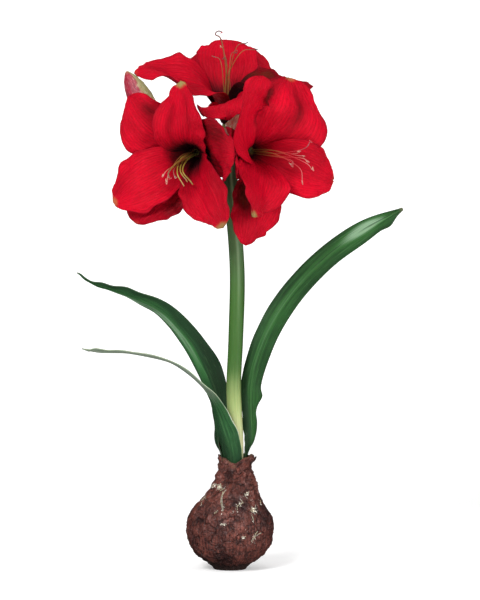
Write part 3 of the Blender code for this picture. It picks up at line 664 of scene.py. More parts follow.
def makeStamens():
    form = stamenForm
    material = stamenMaterial()
    for order, (name, stamens) in enumerate(stamenForms.items()):
        bloom = bloomForms[name]
        axis, right, up = flowerFrame(bloom["facing"])
        base = np.asarray(bloom["base"], float)
        foot = base + axis * (form["throat"] + 0.3)
        rows = form["ringRows"]
        ringPath = foot + axis * form["ringLength"] * np.linspace(0, 1, rows)[:, None]
        rings, turn = ringsAlong(ringPath, np.full(rows, form["ring"]), form["ringSides"], up + 0.1 * right)
        green, far = stamens["green"], stamens["reach"]
        radius = form["radius"] * stamens["stout"]
        shells = [tubeShell(rings, together(turn / fullTurn, 0.0, np.zeros((rows, 1))), (0.5, green, far))]
        for number, tip in enumerate(stamens["tips"]):
            turn = fullTurn * number / 6
            out = (math.cos(turn) * right + math.sin(turn) * up) * form["spread"]
            path = filamentPath(base, axis, foot + out, np.asarray(tip, float), out * 1.6)
            pale = stamens["tones"][number]
            ahead = unit(path[-1] - path[-2])
            level = unit(np.cross(ahead, [0, 0, 1]) + 0.3 * up) * (-1) ** number
            path = hooked(path, ahead, level, form["hook"] * (0.7 + 0.1 * number))
            thin, dull = (0.6, 0.3) if number in stamens["fine"] else (1, 1)
            shells.append(filamentShell(path, radius * thin, pale, green * dull, far))
            shells.append(antherShell(path[-1], ahead, level, pale, 50 + 7 * number + order))
        path = filamentPath(base, axis, foot, np.asarray(stamens["style"], float), 0)
        if stamens["curl"]:
            path = hooked(path, np.array([0, 0, 1.0]), np.array([1.0, 0, 0]), stamens["curl"], 2.6)
        tip = path[-1]
        shells.append(filamentShell(path, radius * stamens["styleStout"], 0.1, green * 0.6, far))
        ahead = unit(path[-1] - path[-2])
        for lobe in range(3):                        # the stigma's lobes curl back
            turn = fullTurn * lobe / 3
            side = unit(np.cross(ahead, [0.2, 0.3, 1]))
            out = math.cos(turn) * side + math.sin(turn) * np.cross(ahead, side)
            line = (tip - ahead, tip - ahead * 0.2 + out * 0.9, tip - ahead * 0.6 + out * 1.9)
            shells.append(filamentShell(smoothAlong(np.linspace(0, 1, 12), line), 0.4, 0.6, 0.0, 0.0))
        makePiece("stamens" + name, shells, material, "filament_red", "stamens_" + name.lower())


makeStamens()
print("stamens done")


# strap leaves

# Each leaf's look: freshness, greyness and the level of painted light and shade. The last spots in each leaf
# paint highlights and shade on it (share of the length, place across, the sizes of both, and the change).
leafForms = {
    "Left": {
        "path": ((-8.2, 4, 92.7), (-9.2, 5, 114), (-15.6, 9, 131), (-14, 11, 172), (-33, 14, 216),
                 (-66, 20, 255), (-105, 26, 274), (-138, 31, 284), (-156.5, 33, 296)),
        "half": (7.4, 7.4, 9.3, 12.2, 12.4, 11.5, 10.5, 8, 1.5), "roll": (-24, -22, 2, 62, 72, 48, 28, 12, 8),
        "gutter": (48, 46, 42, 26, 22, 20, 20, 24, 10), "seed": 301, "look": (0.40, 0.0, 0.53), "pressed": (),
        "drawn": ((0.62, 1, 0.04, 0.8), (0.45, -1, 0.06, 1.5)),
        "shadeAndLight": ((0.75, 0.55, 0.25, 0.28, 0.50), (0.5, 0.30, 0.14, 0.28, 0.40),
                    (0.32, -0.6, 0.18, 0.9, -1.8), (0.20, 0, 0.10, 2, -0.3), (0.62, -0.8, 0.3, 0.4, -0.3)),
    },
    "Front": {
        "path": ((0.6, -9.8, 92.7), (-0.6, -10.2, 118), (-6.5, -12, 140), (-14, -14, 163), (-30, -15.5, 185),
                 (-60, -19, 207), (-100, -22, 216), (-130, -24, 217.5), (-147, -25, 220.5)),
        "half": (9.3, 11.5, 12, 10.5, 10, 10, 10, 7.5, 1.5), "roll": (68, 67, 62, 30, 9, 6, 6, 7, 8),
        "gutter": (52, 42, 34, 24, 16, 14, 14, 14, 10), "seed": 333, "look": (0.25, 1.0, 0.40), "pressed": (),
        "drawn": (),
        "shadeAndLight": ((0.22, -0.35, 0.16, 0.25, 0.05), (0.16, 0.55, 0.12, 0.25, -0.6),
                    (0.26, -1, 0.13, 0.05, 2.2), (0.06, 0, 0.08, 2, -0.25)),
    },
    "Right": {
        "path": ((14.8, 3.6, 92.7), (15.6, 4, 112), (20.4, 7.5, 130), (19.8, 10.5, 156), (21.2, 12.5, 187),
                 (35, 14, 231), (60, 16, 273), (96, 20, 311), (136, 24, 339.5), (174, 27, 361)),
        "half": (7.2, 7.4, 8.8, 9.2, 10.8, 11.8, 12, 11.5, 10.5, 1.5),
        "roll": (197, 188, 136, 122, 104, 96, 94, 92, 88, 84),
        "gutter": (50, 48, 36, 28, 24, 22, 20, 18, 18, 10), "seed": 365, "look": (0.8, 0.0, 0.42),
        "pressed": ((0.40, -0.9, 0.03, 0.5, -2.0),),
        "drawn": ((0.395, -1, 0.022, 3.0), (0.335, -1, 0.03, -1.2), (0.950, -1, 0.021, 3.4)),
        "shadeAndLight": ((0.60, 0.10, 0.3, 0.30, 0.30), (0.89, 0.25, 0.055, 0.5, 0.85),
                    (0.28, 0.75, 0.16, 0.4, -0.7),
                    (0.30, -0.4, 0.10, 0.3, 0.20), (0.12, 0, 0.06, 2, -0.4), (0.15, -0.95, 0.05, 0.12, 2.5)),
    },
}
leafShape = {"rows": 200, "columns": 36, "thick": (1.5, 0.7), "vein": 0.12, "midrib": 0.55, "edge": 0.7}


def leafMaterial():
    paint = Paint("leafGreen", Subsurface_Weight=0.04, Subsurface_Scale=0.002, Specular_IOR_Level=0.13)
    across, length, side = paint.field("place")
    # light is painted light and shade: a painted highlight above its middle level, painted shade below it
    fresh, grey, light = paint.field("tone")
    where = paint.spot()
    cloud = paint.noise(where, 22, 3.0)
    streak = paint.noise(paint.join(across * 22, length * 5.0, side * 3), 1.0, 4.0, 0.6)
    cells = paint.noise(paint.join(across * 90, length * 160, side), 1.0, 1.0)
    bands = paint.noise(paint.join(across * 5.5, length * 5.0, side * 3), 1.0, 3.0, 0.65)
    scuffs = paint.noise(paint.join(across * 9, length * 26, side * 3), 1.0, 3.0, 0.6)
    veins = (across + (cloud - 0.5) * 0.05).lines(34, 5)
    dark = paint.mix(fresh, (0.005, 0.026, 0.011), (0.005, 0.025, 0.005))
    green = paint.mix(fresh, (0.027, 0.130, 0.040), (0.018, 0.088, 0.010))
    greyMask = grey * length.step(0.36, 0.52) * (0.30 + streak.step(0.35, 0.62) * 0.65)
    # darker or greener by random streaks and by the painted light and shade
    colour = paint.mix((cloud * 0.5 + streak * 0.6 + light - 0.72).step(0.0, 0.55), dark, green)
    colour = paint.coated(colour, (
        # painted highlight where the light is high, painted shade where it is low
        ((light + (streak - 0.5) * 0.5).step(0.62, 1.15), (0.21, 0.34, 0.21)),
        ((light + (streak - 0.5) * 0.2).step(0.10, -0.30) * 0.9, (0.004, 0.009, 0.005)),
        ((across * 1.03 + (cloud - 0.5) * 0.04).lines(20, 3) * 0.35, dark),
        (veins * 0.24, (0.08, 0.20, 0.07)),
        (abs(across).step(0.10, 0.0) * 0.10, (0.13, 0.27, 0.10)),
        (bands.step(0.50, 0.34) * 0.70, dark),
        # lighter bands, lighter still under painted light
        (bands.step(0.54, 0.70) * 0.40, paint.mix(light, green, (0.10, 0.24, 0.09))),
        (scuffs.step(0.60, 0.74) * 0.30, (0.085, 0.17, 0.075)),
        # painted shade towards the margins, where the curved blade turns from the light
        (abs(across).step(0.60, 0.98) * 0.40, dark),
        (side.step(0.2, -0.2) * 0.08, (0.08, 0.18, 0.08)),
        (greyMask, (0.23, 0.27, 0.21)),
        # pale margins, partly the leaf's own pale edge and partly a painted highlight along it
        (abs(across).step(0.95, 1.0) * (0.12 + grey * 0.6 * length.step(0.3, 0.5)), (0.42, 0.50, 0.34)),
        # painted gloss highlight where the light is highest
        (light.step(1.4, 2.4), (0.74, 0.76, 0.62)),
        ((length + (streak - 0.5) * 0.02).step(0.985, 1.0) * 0.6, (0.17, 0.15, 0.10)),
        (length.step(0.075, 0.02) * 0.5, (0.30, 0.34, 0.14)),
    ))
    roughness = 0.33 + streak * 0.16 + (cloud - 0.5) * 0.10
    return paint.finish(colour, roughness, veins * -0.4 + cells * 0.2 + streak * 0.3 + bands * 1.6, 0.26)


def strapGrid(form, rows, columns):                  # an arc across each place on the line, rolled about it
    share = np.linspace(0, 1, rows)
    line = smoothAlong(share, form["path"])
    fine = smoothAlong(np.linspace(0, 1, 10 * (rows - 1) + 1), form["path"])
    ahead = unit(np.gradient(fine, axis=0)[::10])
    side = unit(np.array([0, 1.0, 0]) - ahead * ahead[:, 1:2])
    other = np.cross(ahead, side)
    roll = np.radians(smoothAlong(share, form["roll"]))[:, None]
    across = np.cos(roll) * side + np.sin(roll) * other
    normal = np.cross(across, ahead)
    half = np.maximum(smoothAlong(share, form["half"]), 0.5)
    points = arcPoints(line, across, normal, half, np.radians(smoothAlong(share, form["gutter"])), columns)
    return points, share, half, normal, across


def makeLeaves():
    shape = leafShape
    material = leafMaterial()
    for name, form in leafForms.items():
        points, share, half, normal, across = strapGrid(form, shape["rows"], shape["columns"])
        place = np.linspace(-1, 1, shape["columns"])
        span = np.linalg.norm(np.diff(np.asarray(form["path"], float), axis=0), axis=1).sum()
        flat = together(share[:, None] * span, place * half[:, None])
        free = eased((share - 0.08) / 0.1)[:, None]
        ribs = shape["vein"] * np.cos(place * fullTurn * 6) * (1 - place**8)
        lift = (ribs - shape["midrib"] * hump(place, 0, 0.14)) * free
        lift = lift + free * shape["edge"] * np.abs(place) ** 2 * ripple(flat, 31, form["seed"])
        lift = lift + free * 0.22 * ripple(flat * (0.4, 1), 12, form["seed"] + 1)
        lift = lift + spots(share[:, None], place, form["pressed"])
        out = rims(share[:, None], place, form["drawn"])
        points = points + normal[:, None] * lift[..., None] + across[:, None] * out[..., None]
        middle, rim = shape["thick"]
        tapered = (0.35 + 0.65 * eased((1 - share) / 0.06))[:, None]
        thick = (middle + (rim - middle) * np.abs(place) ** 3) * tapered
        fresh, grey, light = form["look"]
        # painted light and shade on the leaf, raised or lowered in spots
        light = light + spots(share[:, None], place, form["shadeAndLight"])
        shell = sheetShell(points, thick, place, share[:, None], together(fresh, grey, light))
        slotName = "leaf_pale_green" if name == "Front" else "leaf_green"
        makePiece("leaf" + name, [shell], material, slotName, "leaf_" + name.lower())


makeLeaves()
print("leaves done")


# flower stem

stemForm = {
    "path": ((5.1, 0, 92.3), (4.7, 0, 135), (2.7, 0, 182), (4.6, 0, 230), (6.2, 0, 285), (4.4, 0, 328),
             (0.2, 0, 372), (-2, 0, 404), (-2, 0, 420)),
    "radius": 7.5, "headRadius": 9.5, "headTop": 420, "headLength": 14, "headEase": 12,
    "rows": 220, "sides": 96,
}


def stemMaterial():
    paint = Paint("stemGreen", Subsurface_Weight=0.10, Subsurface_Scale=0.003, Specular_IOR_Level=0.35)
    around, height, _ = paint.field("place")
    cloud = paint.noise(paint.spot(), 30, 3.0)
    streak = paint.noise(paint.join(around * 46, height * 6, 0.0), 1.0, 4.0, 0.6)
    specks = paint.noise(paint.spot((1, 1, 0.45)), 700, 1.0).step(0.66, 0.74)
    lines = around.lines(120, 4)
    tone = height + (streak - 0.5) * 0.10 + (cloud - 0.5) * 0.06
    # painted shade down both sides of the stem
    shadedSides = (abs(around - 0.5) + (cloud - 0.5) * 0.10).step(0.26, 0.48)
    # painted highlight: a paler stripe down the front and the back
    highlightStripe = (abs(around - 0.57) + (streak - 0.5) * 0.10).step(0.10, 0.0) * height.step(0.35, 0.6)
    colour = paint.mix(tone.step(0.05, 0.22), (0.60, 0.58, 0.34), (0.34, 0.42, 0.15))
    colour = paint.coated(colour, (
        (tone.step(0.17, 0.32), (0.038, 0.112, 0.016)),
        (tone.step(0.45, 0.62) * 0.8, (0.068, 0.128, 0.048)),
        # painted shade over the stem's top, between the blooms
        (tone.step(0.64, 0.80) * 0.75, (0.014, 0.026, 0.012)),
        (streak.step(0.50, 0.8) * 0.22, (0.16, 0.30, 0.10)),
        (lines * 0.12 + specks * 0.20, (0.06, 0.15, 0.04)),
        (shadedSides * 0.60, paint.mix(tone.step(0.05, 0.32), (0.20, 0.21, 0.07), (0.013, 0.042, 0.008))),
        (highlightStripe * 0.45, (0.22, 0.32, 0.17)),
        (height.step(0.955, 1.0) * 0.45, (0.24, 0.10, 0.05)),
    ))
    return paint.finish(colour, 0.36 + cloud * 0.16, lines * 0.5 + streak * 0.5, 0.12)


def makeStem():
    form = stemForm
    share = np.linspace(0, 1, form["rows"])
    path = smoothAlong(share, form["path"])
    above = path[:, 2] - form["headTop"] + form["headLength"] + form["headEase"]
    swelling = eased(above / form["headEase"])
    radii = form["radius"] + (form["headRadius"] - form["radius"]) * swelling
    rounded = np.sqrt(np.clip((1 - share) * 90, 0.55, 1)) * np.sqrt(np.clip(share * 60, 0.8, 1))
    radii = (radii * rounded)[:, None] * np.ones(form["sides"])
    rings, turn = ringsAlong(path, radii, form["sides"], (0, 1, 0))
    spread = together(np.cos(turn) * 22, np.sin(turn) * 22, share[:, None] * 60)
    wave = 0.16 * ripple(spread, 16, 401) - 0.12 * np.cos(turn * 2) ** 2 + 0.07 * np.cos(turn * 24)
    rings = scaledRings(rings, path, 1 + wave / form["radius"])
    shell = tubeShell(rings, together(foldedTurn(turn), share[:, None], 0.0), (0, 0, 0))
    makePiece("flowerStem", [shell], stemMaterial(), "stem_green", "scape")


makeStem()
print("stem done")


# stalks with their ovaries

stalkForms = {
    "Left": {"foot": (-6.6, -2.6), "bends": ((-12, -5.5, 431), (-19, -8, 428))},
    "Right": {"foot": (2.2, -3.2), "bends": ((2, -7, 426),)},
    "Top": {"foot": (0.3, 4.7), "bends": ((-1, 8, 427),)},
    "Bud": {"foot": (-5.6, 4), "bends": ((-14, 10, 431), (-36, 24, 434), (-58, 33, 430))},
}
stalkForm = {"radius": 2.8, "ovaryLength": 15, "gap": 0.3, "rows": 70, "sides": 40}
budForm = {"base": (-72, 38, 436), "tip": (-107, 42, 502), "radius": 12.5, "rows": 120, "sides": 150}


def stalkMaterial():
    paint = Paint("stalkGreen", Subsurface_Weight=0.1, Subsurface_Scale=0.002, Specular_IOR_Level=0.45)
    around, length, _ = paint.field("place")
    cloud = paint.noise(paint.spot(), 90, 3.0)
    streak = paint.noise(paint.join(around * 20, length * 4, 0.0), 1.0, 3.0)
    colour = paint.mix(cloud, (0.075, 0.17, 0.035), (0.19, 0.31, 0.09))
    colour = paint.coated(colour, (
        (length.step(0.5, 1.0) * 0.45, (0.30, 0.16, 0.07)),
        (streak.step(0.5, 0.8) * 0.4, (0.28, 0.38, 0.15)),
    ))
    return paint.finish(colour, 0.38 + cloud * 0.15, streak * 0.6 + cloud * 0.4, 0.15)


def makeStalks():
    form = stalkForm
    material = stalkMaterial()
    for name, stalk in stalkForms.items():
        if name == "Bud":
            base = np.asarray(budForm["base"], float)
            axis = unit(np.asarray(budForm["tip"], float) - base)
        else:
            base = np.asarray(bloomForms[name]["base"], float)
            axis = flowerFrame(bloomForms[name]["facing"])[0]
        start = np.array((*stalk["foot"], stemForm["headTop"] + form["gap"]))
        back = base - axis * (form["gap"] + form["ovaryLength"])
        line = smoothAlong(np.linspace(0, 1, 7), (start, *stalk["bends"], back))
        rise = start + (0, 0, 2)
        ovary = [back + axis * form["ovaryLength"] * part for part in (0.2, 0.4, 0.7, 1)]
        knots = np.array([start, rise, *line[1:], *ovary])
        bulge = np.array([1] * 7 + [1.05, 1.45, 1.93, 1.93, 1.66]) * form["radius"]
        measure = np.concatenate([[0], np.cumsum(np.linalg.norm(np.diff(knots, axis=0), axis=1))])
        share = np.linspace(0, 1, form["rows"])
        at = share * measure[-1]
        path = np.stack([np.interp(at, measure, knots[:, axisNumber]) for axisNumber in range(3)], -1)
        for _ in range(6):                           # rounds the corners between the knots
            path[1:-1] = (path[:-2] + 2 * path[1:-1] + path[2:]) / 4
        path[1:4, :2] = path[0, :2]                  # upright at first, to clear the stem's head
        beside = (0.1, 0.5, 1) if name == "Bud" else (1, 0.2, 0.1)
        rings, turn = ringsAlong(path, np.interp(at, measure, bulge), form["sides"], beside)
        lobes = eased((at - measure[-1] + form["ovaryLength"]) / 6)[:, None]
        factor = 1 + 0.07 * lobes * np.cos(3 * turn) - 0.03 * lobes + 0.012 * np.cos(11 * turn)
        rings = scaledRings(rings, path, factor)
        shell = tubeShell(rings, together(foldedTurn(turn), share[:, None], 0.0), (0, 0, 0))
        makePiece("stalk" + name, [shell], material, "stalk_green", "pedicel_" + name.lower())


makeStalks()
print("stalks done")


# closed bud: tepals folded round each other

def budMaterial():
    paint = Paint("budRed", Subsurface_Weight=0.1, Subsurface_Scale=0.002, Specular_IOR_Level=0.4)
    around, length, _ = paint.field("place")
    green, pale, _ = paint.field("tone")
    cloud = paint.noise(paint.spot(), 120, 3.0)
    streak = paint.noise(paint.join(around * 34, length * 5, 0.0), 1.0, 4.0, 0.65)
    fine = paint.noise(paint.join(around * 120, length * 14, 0.0), 1.0, 2.0)
    dashes = paint.noise(paint.join(around * 52, length * 16, 3.0), 1.0, 2.0)
    leafy = paint.mix(streak, (0.17, 0.17, 0.040), (0.40, 0.37, 0.17))
    leafy = paint.mix(dashes.step(0.54, 0.62) * 0.6, leafy, (0.62, 0.50, 0.40))
    colour = paint.mix(streak.step(0.40, 0.62), (0.20, 0.004, 0.018), (0.36, 0.012, 0.040))
    colour = paint.coated(colour, (
        (dashes.step(0.60, 0.65) * 0.45, (0.70, 0.32, 0.32)),
        ((green + (streak - 0.5) * 0.9 + (cloud - 0.5) * 0.5).step(0.66, 0.95), leafy),
        ((pale + (streak - 0.5) * 0.7).step(0.98, 1.14) * 0.7, (0.84, 0.58, 0.56)),
        (length.step(0.93, 1.0) * 0.5, (0.36, 0.25, 0.12)),
    ))
    return paint.finish(colour, 0.42 + cloud * 0.12, streak * 0.6 + fine * 0.4, 0.22)


def makeBud():
    form = budForm
    base, tip = (np.asarray(form[key], float) for key in ("base", "tip"))
    axis = unit(tip - base)
    right = unit(np.cross([0, 1, 0], axis))
    up = np.cross(axis, right)
    share = np.linspace(0, 1, form["rows"])[:, None]
    turn = np.linspace(0, fullTurn, form["sides"], endpoint=False)
    body = 0.4 + 0.6 * eased(share / 0.45)
    body = body * (1 - np.clip((share - 0.5) / 0.5, 0, 1) ** 2.2) ** 0.75 + 0.03
    ribs = 1 + 0.05 * np.cos(3 * turn + 2.2 * share) + 0.02 * np.cos(6 * turn)
    folded = np.mod(3 * turn + 1.5 * share + 0.4, fullTurn) / fullTurn   # saw tooth, edge over edge
    layers = 1 - 0.085 * eased(folded / 0.06) * (1 - folded) * eased(share / 0.15)
    radius = form["radius"] * body * ribs * layers
    centre = base + (tip - base) * share
    outward = np.cos(turn)[:, None] * right + np.sin(turn)[:, None] * up
    rings = centre[:, None] + radius[..., None] * outward
    rings = rings + outward * (0.18 * ripple(rings, 9, 507))[..., None]
    facing = np.broadcast_to(outward, rings.shape)
    green = eased(0.5 + 0.8 * facing[..., 0] + 0.25 * (0.5 - share))
    pale = eased(-0.9 * facing[..., 0] + 0.30 * facing[..., 1] + 0.05)
    shell = tubeShell(rings, together(foldedTurn(turn), share, 0.0), together(green, pale, 0.0))
    makePiece("closedBud", [shell], budMaterial(), "bud_red", "bud")


makeBud()
print("bud done")


# papery bracts

bractForms = {
    "Front": {
        "path": ((-2, -10.3, 408), (-2.4, -11.3, 416), (-4.2, -12.4, 426), (-1, -13.5, 438), (6, -13, 450),
                 (12, -12, 461)),
        "half": (6, 3.4, 3.0, 6, 5, 1), "roll": (90, 90, 90, 90, 80, 70), "gutter": (32, 30, 26, 20, 20, 10),
        "seed": 601,
    },
    "Back": {
        "path": ((-2, 10.3, 408), (-1.8, 12, 416), (-1, 22, 424), (1, 34, 421), (3, 43, 408), (4, 47, 390)),
        "half": (7, 9, 9, 8, 6, 1), "roll": (-90, -90, -90, -86, -80, -72),
        "gutter": (32, 34, 34, 30, 24, 10), "seed": 633,
    },
}
bractShape = {"rows": 110, "columns": 34, "thick": 0.45, "length": 60}


def bractMaterial():
    paint = Paint("bractPaper", Subsurface_Weight=0.25, Subsurface_Scale=0.004, Specular_IOR_Level=0.3)
    across, length, side = paint.field("place")
    cloud = paint.noise(paint.spot(), 110, 3.0)
    streak = paint.noise(paint.join(across * 9, length * 3, side), 1.0, 4.0, 0.65)
    veins = (across + (cloud - 0.5) * 0.22).lines(18, 5)
    colour = paint.mix(streak.step(0.3, 0.75), (0.62, 0.40, 0.33), (0.92, 0.80, 0.70))
    colour = paint.coated(colour, (
        (veins * 0.55, (0.50, 0.16, 0.15)),
        (cloud.step(0.52, 0.72) * 0.5, (0.86, 0.78, 0.68)),
        (abs(across).step(0.85, 1.0) * 0.7, (0.88, 0.82, 0.74)),
    ))
    return paint.finish(colour, 0.55 + cloud * 0.15, streak * 0.5 + veins * 0.6, 0.25)


def makeBracts():
    shape = bractShape
    material = bractMaterial()
    for name, form in bractForms.items():
        points, share, half, normal, across = strapGrid(form, shape["rows"], shape["columns"])
        place = np.linspace(-1, 1, shape["columns"])
        flat = together(share[:, None] * shape["length"], place * half[:, None])
        free = eased((share - 0.1) / 0.15)[:, None]
        broad = 0.55 * ripple(flat * (0.5, 1.3), 9, form["seed"])
        lift = free * (broad + 0.25 * ripple(flat * (0.5, 2), 4.5, form["seed"] + 1))
        points = points + normal[:, None] * lift[..., None]
        ragged = free * np.abs(place) ** 3 * 0.5 * ripple(flat[..., :1], 5, form["seed"] + 2) * np.sign(place)
        points = points + across[:, None] * ragged[..., None]
        shell = sheetShell(points, shape["thick"], place, share[:, None], (0.5, 0.5, 0.5))
        makePiece("bract" + name, [shell], material, "bract_paper", "spathe_" + name.lower())


makeBracts()
print("bracts done")


# bulb

bulbForm = {
    # height above the foot and radius, from the rim down
    "skin": ((114, 16.2), (104, 16.6), (94, 18.7), (84, 22), (74, 26.8), (64, 34), (54, 40.4), (43, 43.2),
             (33, 42.6), (24, 40), (13.5, 33)),
    "plate": ((13, 31.6), (8, 24.5), (3, 18.2), (0.6, 16.5)), "footRadius": 16.5,
    "pocketFloor": 92, "pocketRadius": 15.3, "wallStart": 8, "wallRows": 14, "plateRows": 44,
    # height of the skin's lower edge, from the back by the left, the front and the right to the back
    "lowerEdge": (17.5, 11, 5.5, 7.5, 9, 12, 12, 14.5, 17.5), "lap": 1.7,
    "rimDip": 6.5, "rimWave": 1.2, "ribs": (0.45, 0.3), "flapTurn": 4, "flapOut": 2.6,
    "footShift": -1.2, "neckLean": 5.0, "sides": 360, "skinRows": 150,
    # size and height of each set of wrinkles, then each skin layer's torn edge: height, depth and wander
    "wrinkles": ((17, 0.80), (8, 0.65), (3.6, 0.45), (1.9, 0.22)),
    "layers": ((95, 0.9, 9), (72, 0.9, 8), (50, 0.6, 12), (30, 0.6, 9)),
    # pale scuffs in the skin: turn from the right towards the back, height, their sizes, and strength
    "scuffs": ((-128, 83, 5, 3, 1.2), (-152, 84, 9, 2.2, 1.1), (-102, 62, 1.5, 6, 0.8),
               (-75, 66.5, 4, 4, 0.9),
               (-56, 76.5, 4, 3, 1.1), (-48.5, 61.5, 5, 3.2, 1.2), (-56, 54, 1.5, 4, 1.0),
               (-56, 35, 2.5, 6, 0.8),
               (-72, 36, 2, 1.5, 1.0), (-98, 49, 2.5, 1.5, 1.1), (-166, 72, 8, 5, 0.8),
               (-112, 59.5, 2, 1.5, 1.0),
               (-20, 67, 2, 3, 1.0), (-84, 60, 8, 2, 0.5), (-48, 69, 4, 3, 0.6), (-66, 44, 6, 3, 0.4),
               (20, 60, 8, 6, 0.7), (70, 70, 7, 5, 0.7), (118, 50, 8, 6, 0.7), (160, 76, 6, 5, 0.7)),
    # painted shade on the skin, in the same numbers
    "paintedShades": ((-165, 50, 22, 14, 1.0), (-8, 50, 16, 18, 0.9), (-105, 16, 26, 7, 0.9), (-48, 94, 7, 12, 1.0),
               (-100, 92, 9, 8, 0.4), (-60, 70, 12, 8, 0.5), (-88, 30, 9, 8, 0.5), (-130, 60, 9, 8, 0.6),
               (60, 40, 16, 20, 0.8), (140, 60, 16, 16, 0.8)),
    # loose fibres: turn, height, length, width, tilt from upright, and how far the end curls off
    "shreds": ((-124, 84, 7, 1.3, -35, 0.6), (-140, 85, 9, 1.2, -80, 0.6), (-118, 81, 6, 1.0, 55, 0.5),
               (-128, 82, 8, 1.0, 85, 0.6), (-158, 82, 7, 1.0, 60, 0.6), (-109, 70, 20, 2.3, -25, 0.5),
               (-112, 78, 7, 0.9, 30, 0.4), (-74, 67, 7, 1.0, 62, 0.6), (-78, 64, 5, 0.8, 10, 0.4),
               (-70, 70, 5, 0.8, -40, 0.5), (-56, 77, 6, 1.1, 55, 0.7), (-60, 74, 5, 0.8, -40, 0.5),
               (-49, 62, 8, 1.3, 78, 0.7), (-52, 59, 6, 0.9, -50, 0.5), (-45, 64, 5, 0.8, 30, 0.4),
               (-56, 54, 6, 1.1, -10, 0.4), (-56, 36, 12, 1.2, 30, 0.6), (-50, 38, 6, 0.8, 62, 0.6),
               (-98, 49, 4, 0.9, 75, 0.4), (-72, 36, 4, 0.9, 65, 0.4), (-20, 67, 5, 0.8, 20, 0.6),
               (-165, 71, 8, 1.2, 50, 0.7), (-112, 60, 4, 0.8, 40, 0.4), (-150, 66, 5, 0.7, -50, 0.5),
               (20, 62, 9, 1.0, 40, 1.0), (75, 70, 8, 1.0, -30, 0.9), (120, 48, 9, 0.9, 30, 0.8)),
    # brown strips of the torn rim, in the fibres' numbers
    "flaps": ((3, 109, 9, 4.5, 62, 3.0), (-18, 106, 7, 3.0, 40, 1.5)),
}
bulbTop = bulbForm["skin"][0][0]                     # height of the rim above the foot


def bulbMaterial():
    paint = Paint("bulbSkin", Specular_IOR_Level=0.42)
    around, height, plate = paint.field("place")
    # the tone's last value is the painted shade on the skin
    scuff, inner, paintedShade = paint.field("tone")
    where = paint.spot()
    cloud = paint.noise(where, 26, 4.0, 0.6)
    patch = paint.noise(where, 75, 4.0, 0.6)
    grain = paint.noise(paint.spot((1, 1, 0.35)), 520, 3.0, 0.6)
    fibres = paint.noise(paint.spot((1, 1, 0.10)), 900, 2.0, 0.6)
    lines = (around + (cloud - 0.5) * 0.03).lines(72, 2)
    crumbs = paint.noise(paint.spot((1, 1, 0.6)), 210, 4.0, 0.65)
    bent = paint.spot((1, 1, 1.3))
    creases = 1 - abs(paint.noise(bent, 48, 4.0, 0.55) - 0.5) * 22
    folds = 1 - abs(paint.noise(bent, 120, 3.0, 0.6) - 0.5) * 15
    # painted shade darkens the skin's tone and its dark crumbs
    tone = cloud - paintedShade * 0.12
    flecks = paint.noise(paint.spot((1, 1, 0.8)), 520, 4.0, 0.7)
    threads = 1 - abs(paint.noise(paint.spot((1, 1, 0.7)), 230, 3.0, 0.6) - 0.5) * 14
    worn = scuff.step(1.5, 2.0) * 1.2 + scuff * 0.46 + (flecks - 0.5) * 1.4 + threads * 0.26
    worn = worn.step(0.48, 0.62)
    colour = paint.mix(tone.step(0.30, 0.56), (0.036, 0.010, 0.009), (0.142, 0.037, 0.026))
    colour = paint.coated(colour, (
        (patch.step(0.50, 0.66) * 0.70, (0.190, 0.050, 0.034)),
        (fibres.step(0.55, 0.75) * 0.40, (0.25, 0.095, 0.070)),
        (lines * 0.60 * (height + (cloud - 0.5) * 0.5).step(0.62, 0.40), (0.020, 0.007, 0.008)),
        (patch.step(0.44, 0.30) * 0.55, (0.030, 0.010, 0.014)),
        ((crumbs - paintedShade * 0.04).step(0.44, 0.34) * 0.55, (0.010, 0.004, 0.004)),
        # dark folds and cracks, partly the skin's own dark and partly painted shade in them
        (folds.step(0.2, 1.0) * 0.45, (0.018, 0.006, 0.006)),
        (creases.step(0.0, 1.0) * 0.60, (0.010, 0.004, 0.004)),
        (crumbs.step(0.58, 0.70) * 0.40, (0.30, 0.130, 0.110)),
        # painted shade over the lowest part of the skin
        ((height + (patch - 0.5) * 0.15).step(0.17, 0.06) * 0.55, (0.014, 0.006, 0.006)),
        (worn, paint.mix(flecks.step(0.35, 0.6), (0.84, 0.72, 0.40), (1.0, 0.95, 0.82))),
        (plate * 0.75, (0.022, 0.011, 0.009)),
        (inner * 0.6, (0.16, 0.085, 0.05)),
    ))
    roughness = 0.29 + grain * 0.25 + worn * 0.25 + plate * 0.25
    relief = grain * 0.4 + fibres * 0.3 + crumbs * 0.5 - lines * 0.25 + worn * 0.4
    relief = relief - creases.step(0.0, 1.0) * 0.9 - folds.step(0.0, 1.0) * 0.6
    return paint.finish(colour, roughness, relief, 1.0)


def bulbRings():                                     # pocket floor and wall, rim, skin, plate and foot
    form = bulbForm
    pocket = form["pocketRadius"]
    low = form["pocketFloor"] + form["wallStart"]
    floor = [(form["pocketFloor"], pocket * part) for part in (0.15, 0.5, 0.93)]
    wall = [(low + (bulbTop - low) * part, pocket) for part in np.linspace(0, 1, form["wallRows"])]
    lip = [(bulbTop + 0.35, pocket + 0.35)]
    skin = smoothAlong(np.linspace(0, 1, form["skinRows"]), form["skin"])
    plate = smoothAlong(np.linspace(0, 1, form["plateRows"]), form["plate"])
    foot = [(0, form["footRadius"] - 0.5), (0, form["footRadius"] * 0.6), (0, form["footRadius"] * 0.15)]
    profile = np.concatenate([floor, wall, lip, skin, plate, foot])
    inside = len(floor) + len(wall)
    onSkin = np.zeros(len(profile))
    onSkin[inside + 1:-len(foot)] = 1
    return profile, onSkin, inside


